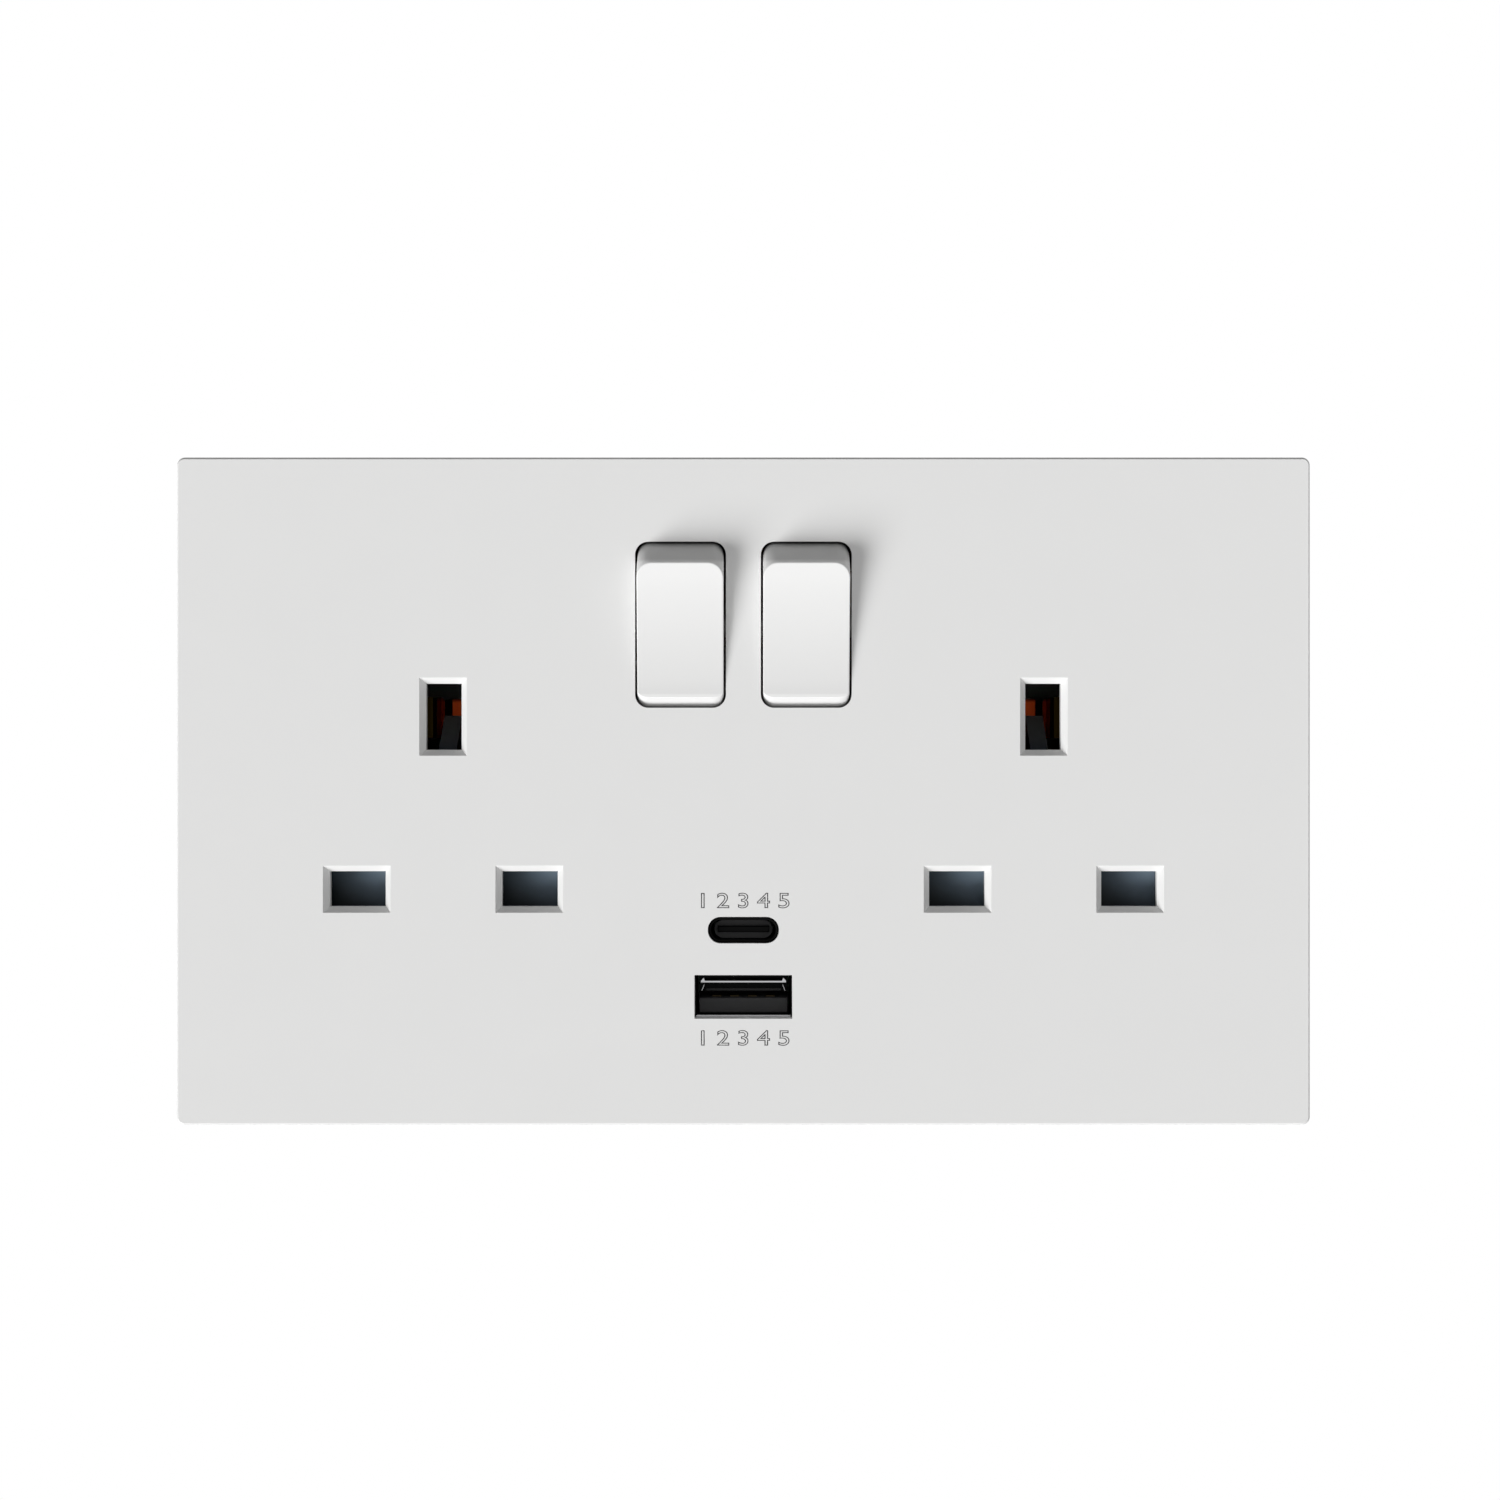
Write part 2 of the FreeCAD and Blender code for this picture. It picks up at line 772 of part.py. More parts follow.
def housing_screw(name, x, z):
    seat = dim.housing_depth
    screw = doc.addObject("Part::Fuse", name)
    screw.Base = turned(f"{name}_shank", dim.screw_radius, x, -dim.screw_reach, seat, z)
    screw.Tool = turned(f"{name}_head", dim.screw_head, x, seat, seat + dim.screw_head_depth, z)
    return screw


def group(label, members):
    compound = doc.addObject("Part::Compound", label)
    compound.Links = members
    compound.Label = label
    nodes.append(compound)


def housing_screws():
    screws = []
    for number, (x, z) in enumerate(screw_places(), 1):
        screws.append(housing_screw(f"housing_screw_{number}", x, z))
    group("housing_screws", screws)


# Wiring terminals

def terminal(label, x, z):
    """A brass block with a bore for the wires and a threaded hole for its clamping screw."""
    body = piece(label, x, 0, z)
    width = dim.terminal_width
    length = dim.terminal_length
    add(body, "front", strip_seat, housing_inside, oblong(sized(0), sized(0), width, length))
    bore = disc(sized(0), terminal_bore_depth, dim.terminal_bore)
    cut(body, "top", -length / 2, length / 2, bore)
    hole = disc(sized(0), sized(0), dim.terminal_screw + dim.bearing_gap)
    cut(body, "front", terminal_bore_depth, housing_inside, hole)


def terminals():
    for label, x, z, _ in terminal_places():
        terminal(label, x, z)
        name = label.replace("terminal", "screw")
        start = terminal_bore_depth + dim.terminal_bore
        end = housing_inside + dim.terminal_screw_stand
        nodes.append(turned(name, dim.terminal_screw, x, start, end, z))


# Rocker switches

def rocker_end(level):
    """Half the lever's height at a level in front of the pivot: its ends lie on arcs about the pivot."""
    return root(rocker_radius * rocker_radius - level * level)


def rocker(side_name, side):
    """The lever: a flat face, ends on arcs about the pivot, ears, trunnions and the plunger's hub."""
    x = side * dim.switch_offset
    body = piece(f"rocker_{side_name}", x, pivot_depth, dim.switch_height, dim.rocker_tilt)
    face = dim.rocker_face / 2
    rim = rocker_end(dim.rocker_skirt)
    lever = outline(
        [
            (-dim.rocker_skirt, -rim),
            (-dim.rocker_skirt, rim),
            (-dim.rocker_rise, face),
            (-dim.rocker_rise, -face),
        ],
        bulges={1: rocker_radius, 3: rocker_radius},
    )
    add(body, "side", -rocker_width / 2, rocker_width / 2, lever)
    soften(body, dim.rocker_bevel, lambda edge: edge.Curve.TypeId == "Part::GeomCircle", "Chamfer")
    foot = rim - dim.rocker_bevel
    ears = outline(
        [
            (-dim.rocker_skirt, -foot),
            (dim.rocker_ear_drop, -dim.rocker_ear),
            (dim.rocker_ear_drop, dim.rocker_ear),
            (-dim.rocker_skirt, foot),
        ]
    )
    add(body, "side", -rocker_width / 2, rocker_width / 2, ears)
    inside = rocker_width - 2 * dim.rocker_wall
    hollow_front = dim.rocker_wall - dim.rocker_rise
    cavity = oblong(sized(0), sized(0), inside, dim.rocker_face - 2 * dim.rocker_wall)
    cut(body, "front", hollow_front, dim.rocker_ear_drop, cavity)
    add(body, "front", hollow_front, dim.hub_reach, disc(sized(0), sized(0), dim.hub_radius))
    cut(body, "front", -dim.hub_floor, dim.hub_reach, disc(sized(0), sized(0), dim.hub_bore))
    trunnion = disc(sized(0), sized(0), dim.trunnion_radius)
    outside = rocker_width / 2 + dim.trunnion_length
    wall = rocker_width / 2 - dim.rocker_wall
    add(body, "side", wall, outside, trunnion)
    add(body, "side", -outside, -wall, trunnion)


def plunger(side_name, side):
    """A round pin with a domed tip, pushed out of the rocker's hub by its spring."""
    x = side * dim.switch_offset
    body = piece(f"plunger_{side_name}", x, pivot_depth, dim.switch_height, dim.rocker_tilt)
    start = dim.plunger_reach - dim.plunger_length
    add(body, "front", start, dim.plunger_reach, disc(sized(0), sized(0), dim.plunger_radius))
    spring = coil(
        f"plunger_spring_{side_name}",
        dim.plunger_spring_radius,
        dim.plunger_spring_turns,
        start + dim.hub_floor,
    )
    # The spring stands on the hub's floor, in front of the pivot and so a little below it
    lean = dim.rocker_tilt
    y = pivot_depth - dim.hub_floor * cosine(lean)
    z = dim.switch_height - dim.hub_floor * sine(lean)
    place(spring, x, y, z, 90 - lean, sense=-1)


def moving_contact(side_name, side):
    """A strip that rocks on the feed's knife edge, with a silver button at its upper end."""
    x = side * dim.switch_offset
    tilt = dim.contact_tilt
    body = piece(f"moving_contact_{side_name}", x, knife_edge, dim.switch_height, tilt, sense=-1)
    end = dim.contact_length / 2
    thick = dim.contact_thickness
    dish = dim.contact_dish
    profile = outline(
        [
            (-thick - dish, end),
            (-thick - dish, dim.contact_saddle),
            (-thick, 0),
            (-thick - dish, -dim.contact_saddle),
            (-thick - dish, -end),
            (-dish, -end),
            (-dish, -dim.contact_saddle),
            (0, 0),
            (-dish, dim.contact_saddle),
            (-dish, end),
        ]
    )
    add(body, "side", -dim.contact_width / 2, dim.contact_width / 2, profile)
    button = disc(sized(0), dim.contact_arm, dim.button_radius - dim.button_step)
    add(body, "front", -dish, dim.button_thickness - dish, button)


# Coil springs

COIL_STEPS = 6


def coil(label, radius, turns, length):
    """A spring of square wire that winds up its own Z, bent in short straight steps."""
    steps = round(turns.number * COIL_STEPS)
    rise = (length.number - dim.wire.number) / steps
    points = []
    for step in range(steps + 1):
        angle = 2 * math.pi * step / COIL_STEPS
        across = radius.number * math.cos(angle)
        along = radius.number * math.sin(angle)
        points.append(FreeCAD.Vector(across, along, dim.wire.number / 2 + rise * step))
    path = Part.Wire(Part.makePolygon(points))
    half = dim.wire.number / 2
    corners = [(-half, -half), (half, -half), (half, half), (-half, half), (-half, -half)]
    section = Part.makePolygon([FreeCAD.Vector(radius.number + x, 0, half + z) for x, z in corners])
    spring = doc.addObject("Part::Feature", label)
    spring.Label = label
    spring.Shape = path.makePipeShell([section], True, False, 1)
    nodes.append(spring)
    return spring


# Shutters

def shutter(side_name, side):
    """Two blades behind the flat slots, arms beside the earth slot, and the ramp in its lower half."""
    centre = side * dim.outlet_offset
    body = piece(f"shutter_{side_name}", centre)
    low = live_height - dim.blade_bottom
    blade = live_height + dim.blade_top
    slot_low = dim.earth_height - dim.earth_slot_height / 2
    arm = dim.arm_inside + dim.arm_width
    top = dim.earth_height + dim.arm_top
    crotch = slot_low - dim.shutter_gap
    shoulder = dim.guide_foot - dim.guide_gap
    right_side = [
        (dim.shutter_half_width, low),
        (dim.shutter_half_width, blade),
        (dim.shutter_bar, blade),
        (dim.shutter_bar, shoulder - (dim.shutter_bar - arm)),
        (arm, shoulder),
        (arm, top),
        (dim.arm_inside, top),
        (dim.arm_inside, crotch),
    ]
    left_side = [(-x, z) for x, z in reversed(right_side)]
    add(body, "front", shutter_front, shutter_back, outline(right_side + left_side))
    ramp_back = shutter_front + dim.ramp_depth
    ramp = outline(
        [
            (shutter_front, crotch - dim.ramp_land),
            (ramp_back, crotch - dim.ramp_land),
            (ramp_back, crotch + dim.ramp_height),
            (ramp_back - dim.ramp_land, crotch + dim.ramp_height),
            (shutter_front, crotch),
        ]
    )
    add(body, "side", -dim.ramp_width / 2, dim.ramp_width / 2, ramp)
    seat = oblong(sized(0), low + dim.seat_height / 2, dim.seat_width, dim.seat_height)
    seat_back = table_back + 2 * (dim.return_spring_radius + dim.wire)
    add(body, "front", shutter_front, seat_back, seat)
    spring = coil(
        f"shutter_spring_{side_name}",
        dim.return_spring_radius,
        dim.return_spring_turns,
        dim.return_spring_length,
    )
    place(spring, centre, table_back + dim.return_spring_radius + dim.wire, ledge_top)


# Folded strips

def leaves(mouth, base):
    """The side view of two sprung leaves that grip a pin: along the depth, and across."""
    throat = mouth + dim.clip_throat
    back = base + dim.strip
    upper = [
        (base, dim.clip_base_gap / 2),
        (throat, dim.clip_throat_gap / 2),
        (mouth, dim.clip_mouth_gap / 2),
        (mouth, dim.clip_mouth_gap / 2 + dim.leaf),
        (throat, dim.clip_throat_gap / 2 + dim.leaf),
        (back, dim.clip_base_gap / 2 + dim.leaf),
    ]
    lower = [(depth, -across) for depth, across in reversed(upper)]
    return upper + lower


def live_clip(body, x, plane):
    """Leaves above and below a flat pin."""
    profile = [(depth, live_height + up) for depth, up in leaves(dim.clip_mouth, plane)]
    half = dim.clip_width_live / 2
    add(body, "side", x - half, x + half, outline(profile))


def line_clip(side_name, side):
    """The line pin's clip, its strip up to the switch, and the switch's fixed contact."""
    body = piece(f"line_clip_{side_name}")
    plane = dim.line_clip_plane
    back = plane + dim.strip
    half = dim.leg_width / 2
    clip = side * dim.outlet_offset + half_pitch
    foot = live_height - dim.clip_base_gap / 2
    bar_low = dim.line_bar_height - dim.bar_width / 2
    bar_high = dim.line_bar_height + dim.bar_width / 2
    contact = dim.switch_height + dim.contact_arm
    arm_low = contact - dim.bar_width / 2
    arm_high = contact + dim.bar_width / 2
    inner = side * (dim.switch_leg - dim.bar_width / 2)
    outer = side * (dim.switch_leg + dim.bar_width / 2)
    tip = side * (dim.switch_offset - dim.bar_width / 2)
    far = clip + side * half
    close = clip - side * half
    strip = [
        (far, foot),
        (far, bar_high),
        (outer, bar_high),
        (outer, arm_high),
        (tip, arm_high),
        (tip, arm_low),
        (inner, arm_low),
        (inner, bar_low),
        (close, bar_low),
        (close, foot),
    ]
    add(body, "front", plane, back, outline(strip))
    live_clip(body, clip, plane)
    button_face = fixed_contact_face()
    rivet = disc(side * dim.switch_offset, contact, dim.button_radius)
    add(body, "front", button_face, plane, rivet)


def fixed_contact_face():
    """The fixed contact's front, just behind the rocking strip's button when the switch is on."""
    lean = dim.contact_arm * sine(dim.contact_tilt)
    button_back = knife_edge - dim.contact_dish + dim.button_thickness + lean
    return button_back + dim.button_step + dim.contact_gap


def line_rail():
    """The feed from the line terminal, with a knife edge behind each switch."""
    body = piece("line_rail")
    plane = dim.feed_plane
    back = plane + dim.strip
    low = dim.switch_height - dim.bar_width / 2
    high = dim.switch_height + dim.bar_width / 2
    start = -dim.switch_offset - dim.contact_width / 2
    end = dim.live_terminal_offset + dim.leg_width / 2
    add(body, "front", plane, back, between(start, low, end, high))
    terminal_tail(body, dim.live_terminal_offset, high)
    edge = knife_edge + dim.contact_gap
    half = dim.strip / 2
    knife = outline(
        [
            (edge, dim.switch_height - dim.contact_gap),
            (edge + half, dim.switch_height - half),
            (plane, dim.switch_height - half),
            (plane, dim.switch_height + half),
            (edge + half, dim.switch_height + half),
            (edge, dim.switch_height + dim.contact_gap),
        ]
    )
    width = dim.contact_width / 2
    for _, side in SIDES:
        middle = side * dim.switch_offset
        add(body, "side", middle - width, middle + width, knife)


def terminal_tail(body, x, low):
    """The strip's end steps back and lies against the front of its terminal."""
    half = dim.leg_width / 2
    plane = dim.feed_plane
    lap = terminal_height - dim.terminal_length / 2
    add(body, "front", plane, plane + dim.strip, between(x - half, low, x + half, lap))
    add(body, "front", plane, strip_seat, between(x - half, lap - dim.strip, x + half, lap))
    tail_end = terminal_height + dim.terminal_length / 2 - dim.terminal_inset
    add(body, "front", dim.earth_plane, strip_seat, between(x - half, lap, x + half, tail_end))


def neutral_rail():
    """One strip with both neutral clips and a tail to the neutral terminal."""
    body = piece("neutral_rail")
    plane = dim.feed_plane
    back = plane + dim.strip
    half = dim.leg_width / 2
    low = dim.neutral_bar_height - dim.bar_width / 2
    high = dim.neutral_bar_height + dim.bar_width / 2
    foot = live_height - dim.clip_base_gap / 2
    clips = [side * dim.outlet_offset - half_pitch for _, side in SIDES]
    add(body, "front", plane, back, between(clips[0] - half, low, clips[1] + half, high))
    for clip in clips:
        add(body, "front", plane, back, between(clip - half, foot, clip + half, low))
        live_clip(body, clip, plane)
    terminal_tail(body, -dim.live_terminal_offset, high)


def earth_rail():
    """One strip with both earth clips, and a leg down to each earth terminal."""
    body = piece("earth_rail")
    plane = dim.earth_plane
    half = dim.clip_width_earth / 2
    low = dim.earth_height - dim.bar_width / 2
    high = dim.earth_height + dim.bar_width / 2
    end = dim.outlet_offset + dim.clip_base_gap / 2 + dim.leaf
    add(body, "front", plane, strip_seat, between(-end, low, end, high))
    leg = dim.leg_width / 2
    foot = dim.terminal_inset - terminal_height - dim.terminal_length / 2
    for _, side in SIDES:
        middle = side * dim.earth_terminal_offset
        add(body, "front", plane, strip_seat, between(middle - leg, foot, middle + leg, low))
        centre = side * dim.outlet_offset
        profile = [(centre + across, depth) for depth, across in leaves(dim.earth_clip_mouth, plane)]
        profile.reverse()
        add(body, "top", dim.earth_height - half, dim.earth_height + half, outline(profile))


# Charging ports and their board

def port_shell(label, height, wide, high, corner, sink):
    """A drawn metal sleeve from just behind the plate's opening to the board."""
    body = piece(label, 0, 0, height)
    front = plate_front + sink
    add(body, "front", front, dim.board_front, oblong(sized(0), sized(0), wide, high, corner))
    wall = dim.port_wall
    inner_corner = corner and corner - wall
    inside = oblong(sized(0), sized(0), wide - 2 * wall, high - 2 * wall, inner_corner)
    cut(body, "front", front, dim.board_front, inside)
    return body


def small_port():
    corner = dim.small_shell_height / 2 - dim.port_wall / 4
    height = dim.small_port_height
    wide = dim.small_shell_width
    high = dim.small_shell_height
    port_shell("usb_c_shell", height, wide, high, corner, dim.small_shell_sink)
    body = piece("usb_c_tongue", 0, 0, height)
    front = plate_front + dim.small_shell_sink + dim.small_tongue_sink
    blade = oblong(sized(0), sized(0), dim.small_tongue_width, dim.small_tongue_height)
    add(body, "front", front, dim.board_front, blade)
    plug_inside = high - 2 * dim.port_wall - dim.pad_thickness
    floor = oblong(sized(0), sized(0), dim.small_tongue_width, plug_inside)
    add(body, "front", 0, dim.board_front, floor)
    lift = dim.small_tongue_height / 2
    contact_pads("usb_c_contacts", 8, dim.small_tongue_width, height + lift, front, 0)


def contact_pads(label, count, width, low, front, back):
    """A row of thin contacts that lie on the tongue."""
    start = front + dim.pad_setback
    pitch = width / (count + 1)
    pads = []
    for number in range(count):
        pad = doc.addObject("Part::Box", f"{label}_{number + 1}")
        bind(pad, "Length", pitch / 2)
        bind(pad, "Width", back - start)
        bind(pad, "Height", dim.pad_thickness)
        middle = pitch * (number + 1) - width / 2
        place(pad, middle - pitch / 4, start, low)
        pads.append(pad)
    group(label, pads)


def wide_port():
    height = dim.wide_port_height
    wide = dim.wide_shell_width
    high = dim.wide_shell_height
    sink = dim.wide_shell_sink
    port_shell("usb_a_shell", height, wide, high, None, sink)
    body = piece("usb_a_tongue", 0, 0, height)
    front = plate_front + sink + dim.wide_tongue_sink
    half = dim.wide_tongue_width / 2
    top = -dim.wide_tongue_drop
    low = top - dim.wide_tongue_height
    add(body, "front", front, dim.board_front, between(-half, low, half, top))
    inside = high / 2 - dim.port_wall - dim.pad_thickness
    block = between(-half, top, half, inside)
    add(body, "front", dim.wide_block_front, dim.wide_block_back, block)
    contact_pads("usb_a_contacts", 4, dim.wide_tongue_width, height + top, front, 0)


def board_corners():
    across = dim.board_width / 2 - dim.board_post_inset
    for _, side in SIDES:
        yield side * across, dim.board_top - dim.board_post_inset
        yield side * across, dim.board_bottom + dim.board_post_inset


def charger():
    board = piece("charger_board")
    half = dim.board_width / 2
    sheet_outline = between(-half, dim.board_bottom, half, dim.board_top)
    add(board, "front", dim.board_front, board_back, sheet_outline)
    core = piece("transformer_core", dim.core_offset, 0, dim.core_centre)
    core_back = board_back + dim.core_depth
    ring = oblong(sized(0), sized(0), dim.core_width, dim.core_height)
    add(core, "front", board_back, core_back, ring)
    limb = dim.core_width / 2 - dim.core_limb
    window = between(-limb, board_back, limb, core_back - dim.core_limb)
    cut(core, "top", -dim.core_height / 2, dim.core_height / 2, window)
    winding = piece("transformer_winding", dim.core_offset, 0, dim.core_centre)
    half_spool = dim.core_height / 2 + dim.winding_stand
    spool = between(-limb, board_back, limb, core_back - dim.core_limb)
    add(winding, "top", -half_spool, half_spool, spool)
    cans = []
    for number, height in enumerate((dim.capacitor_upper, dim.capacitor_lower), 1):
        can = doc.addObject("Part::Cylinder", f"capacitor_{number}")
        bind(can, "Radius", dim.capacitor_radius)
        bind(can, "Height", dim.capacitor_length)
        can.Placement.Rotation = FreeCAD.Rotation(FreeCAD.Vector(1, 0, 0), -90)
        place(can, dim.capacitor_offset, board_back, height)
        cans.append(can)
    group("capacitors", cans)
    chips = []
    for side_name, side in SIDES:
        chip = doc.addObject("Part::Box", f"control_chip_{side_name}")
        bind(chip, "Length", dim.chip_width)
        bind(chip, "Width", dim.chip_thickness)
        bind(chip, "Height", dim.chip_height)
        left = side * dim.chip_offset - dim.chip_width / 2
        place(chip, left, dim.board_front - dim.chip_thickness, dim.small_port_height)
        chips.append(chip)
    group("control_chips", chips)


# The whole socket

face_plate()
mounting_frame()
rear_housing()
housing_screws()
terminals()
for side_name, side in SIDES:
    rocker(side_name, side)
    plunger(side_name, side)
    moving_contact(side_name, side)
    shutter(side_name, side)
    line_clip(side_name, side)
line_rail()
neutral_rail()
earth_rail()
small_port()
wide_port()
charger()

doc.recompute()
for item in doc.Objects:
    if "Invalid" in item.State or "Error" in item.State:
        raise RuntimeError(f"{item.Name} failed: {item.State}")
os.makedirs("parts", exist_ok=True)
for node in nodes:
    if node.Shape.isNull() or not node.Shape.isValid():
        raise RuntimeError(f"{node.Label} has no valid shape")
    node.Shape.exportStep(f"parts/{node.Label}.step")
    box = node.Shape.BoundBox
    print(f"{node.Label}: {box.XLength:.1f} x {box.YLength:.1f} x {box.ZLength:.1f} mm")
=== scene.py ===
# %% [markdown]
# # A flat twin wall socket
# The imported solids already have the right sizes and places, so this lesson only dresses them. Parts
# whose edges matter to the eye are modelled again on the solids' own measures, and the rest keep
# their solids and get a finish made of nodes. Everything is in metres, the front looks along -Y.

# %% Load the frame
import json
import math

import bmesh
import bpy
from mathutils import Matrix, Vector


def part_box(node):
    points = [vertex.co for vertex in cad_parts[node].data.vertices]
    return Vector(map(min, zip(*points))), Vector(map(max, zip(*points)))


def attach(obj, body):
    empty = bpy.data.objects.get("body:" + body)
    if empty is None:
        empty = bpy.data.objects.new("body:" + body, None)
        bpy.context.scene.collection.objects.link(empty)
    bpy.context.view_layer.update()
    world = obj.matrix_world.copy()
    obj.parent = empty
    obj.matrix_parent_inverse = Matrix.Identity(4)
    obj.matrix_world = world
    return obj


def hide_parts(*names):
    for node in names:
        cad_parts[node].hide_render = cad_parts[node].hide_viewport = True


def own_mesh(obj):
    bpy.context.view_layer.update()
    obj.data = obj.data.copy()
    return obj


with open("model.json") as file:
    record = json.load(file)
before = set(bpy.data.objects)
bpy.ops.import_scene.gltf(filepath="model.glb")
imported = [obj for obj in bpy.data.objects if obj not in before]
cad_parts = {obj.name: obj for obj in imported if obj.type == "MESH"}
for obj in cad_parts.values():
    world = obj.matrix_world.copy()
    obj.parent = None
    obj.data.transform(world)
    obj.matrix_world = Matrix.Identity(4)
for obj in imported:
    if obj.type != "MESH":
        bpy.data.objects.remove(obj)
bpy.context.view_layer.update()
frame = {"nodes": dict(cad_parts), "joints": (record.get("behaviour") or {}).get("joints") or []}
NODES = frame["nodes"]
MM = 0.001

# %% [markdown]
# ## Camera
# The photograph was taken square to the plate, from a third of a metre, a little above and to the
# right of its middle. The lens could be found by trial. It is worked out instead, from the distance
# and from the 193 mm of the plate's plane that the square picture shows.

# %% Camera
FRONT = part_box("face_plate")[0].y
DISTANCE = 330 * MM
VIEW_WIDTH = 193.2 * MM
EYE_RIGHT, EYE_UP = 0.85 * MM, 5.3 * MM
SENSOR = 36.0
camera = bpy.data.objects.new("camera", bpy.data.cameras.new("camera"))
camera.data.sensor_width = SENSOR
camera.data.lens = SENSOR * DISTANCE / VIEW_WIDTH
camera.data.clip_start = 0.01
camera.location = (EYE_RIGHT, FRONT - DISTANCE, EYE_UP)
camera.rotation_euler = (math.radians(90), 0, 0)
bpy.context.collection.objects.link(camera)
bpy.context.scene.camera = camera
print("lens", round(camera.data.lens, 2))

# %% [markdown]
# ## Writing finishes as sums
# A finish is a graph of nodes. Wiring it by hand is long, so one small class wraps a socket and
# lets Python's own signs add the Math nodes, and one method adds any other node. A finish is such a
# graph that ends in a Principled shader, and the sky is one that ends in a background.


# %% Sockets that add up
class Wire:
    """A socket that can be used in sums."""

    def __init__(self, graph, socket):
        self.graph = graph
        self.socket = socket

    def reckon(self, operation, *values):
        """A Math node on some numbers or wires."""
        settings = {"operation": operation}
        return self.graph.node("ShaderNodeMath", settings, dict(enumerate(values)))

    def __add__(self, other):
        return self.reckon("ADD", self, other)

    def __radd__(self, other):
        return self.reckon("ADD", other, self)

    def __sub__(self, other):
        return self.reckon("SUBTRACT", self, other)

    def __rsub__(self, other):
        return self.reckon("SUBTRACT", other, self)

    def __mul__(self, other):
        return self.reckon("MULTIPLY", self, other)

    def __rmul__(self, other):
        return self.reckon("MULTIPLY", other, self)

    def __abs__(self):
        return self.reckon("ABSOLUTE", self)


class Graph:
    """The nodes of a material or of the sky."""

    def __init__(self, owner):
        owner.use_nodes = True
        self.tree = owner.node_tree

    def join(self, socket, value):
        """Gives a socket a number, a colour or a wire."""
        if isinstance(value, Wire):
            self.tree.links.new(value.socket, socket)
        elif socket.type == "RGBA" and len(value) == 3:
            socket.default_value = (*value, 1.0)
        else:
            socket.default_value = value

    def node(self, kind, settings=None, values=None, output=0):
        """Adds a node: its settings first, then the values or wires of its sockets."""
        item = self.tree.nodes.new(kind)
        for name, value in (settings or {}).items():
            setattr(item, name, value)
        for key, value in (values or {}).items():
            self.join(item.inputs[key], value)
        return Wire(self, item.outputs[output])


# %% A finish
class Finish(Graph):
    """A material with one Principled shader."""

    def __init__(self, name, **shader):
        self.material = bpy.data.materials.new(name)
        super().__init__(self.material)
        self.shader = self.tree.nodes["Principled BSDF"]
        self.set(**shader)

    def set(self, **shader):
        """Gives the shader's own sockets their values, with _ for a space in a name."""
        for name, value in shader.items():
            self.join(self.shader.inputs[name.replace("_", " ")], value)

    def place(self, scale=(1, 1, 1)):
        """The point on the object, in metres, stretched by scale."""
        point = self.node("ShaderNodeTexCoord", output="Object")
        return self.node("ShaderNodeMapping", None, {"Vector": point, "Scale": scale})

    def along(self, axis):
        """How far the point lies along the axis x, y or z, in metres."""
        return self.node("ShaderNodeSeparateXYZ", None, {"Vector": self.place()}, axis.upper())

    def noise(self, size, detail=2.0, where=None, rough=0.5):
        """Clouds of about this size, in metres."""
        point = where or self.place()
        values = {"Vector": point, "Scale": 1 / size, "Detail": detail, "Roughness": rough}
        return self.node("ShaderNodeTexNoise", None, values)

    def blend(self, factor, first, second):
        """A colour between two, by a factor."""
        values = {0: factor, 6: first, 7: second}
        return self.node("ShaderNodeMix", {"data_type": "RGBA"}, values, output=2)

    def bump(self, height, depth):
        """Relief of this depth in metres."""
        return self.node("ShaderNodeBump", None, {"Height": height, "Distance": depth})

    def band(self, wire, low, high):
        """Stretches the part of a wire from low to high over 0 to 1, and clips the rest."""
        values = {"Value": wire, "From Min": low, "From Max": high}
        return self.node("ShaderNodeMapRange", {"clamp": True}, values)


# %% [markdown]
# ## Moulded plastic
# Moulded plastic is nearly one colour, but its gloss drifts a little where the mould was polished,
# and it has a very fine grain. A picture could hold both, but it would need a map of each piece.
# Noise in the object's own metres needs none, and keeps the real scale on every piece.


# %% Moulded plastic
CLOUD, GLOSS_DRIFT, GRAIN = 9 * MM, 4 * MM, 0.25 * MM


def gloss(finish, rough):
    """Roughness that drifts from this much to a little more."""
    finish.set(Roughness=rough + 0.08 * finish.noise(GLOSS_DRIFT, 2))


def grain(finish, depth, size=GRAIN):
    """The mould's fine grain, of this depth."""
    finish.set(Normal=finish.bump(finish.noise(size, 2), depth))


def moulded(name, colour, rough, relief=0.0, size=GRAIN, sheen=0.5):
    """Plastic of nearly one colour, with or without a grain."""
    finish = Finish(name, IOR=1.5, Specular_IOR_Level=sheen)
    deeper = tuple(0.98 * channel for channel in colour)
    finish.set(Base_Color=finish.blend(finish.noise(CLOUD, 3), deeper, colour))
    gloss(finish, rough)
    if relief:
        grain(finish, relief, size)
    return finish.material


FRAME = moulded("frame plastic", (0.020, 0.020, 0.021), 0.46, relief=0.003 * MM, sheen=0.2)
HOUSING = moulded("housing plastic", (0.70, 0.69, 0.655), 0.44, relief=0.004 * MM)
PLUNGER = moulded("plunger plastic", (0.72, 0.71, 0.67), 0.31)
PORT_BLACK = moulded("port black", (0.002, 0.002, 0.002), 0.46, sheen=0.05)
PORT_FLOOR = moulded("port floor", (0.075, 0.075, 0.077), 0.41, relief=0.002 * MM, sheen=0.2)
CHIP = moulded("chip black", (0.022, 0.022, 0.024), 0.51, relief=0.006 * MM, size=0.12 * MM)
print("moulded", [item.name for item in (FRAME, HOUSING, PLUNGER, PORT_BLACK, PORT_FLOOR, CHIP)])

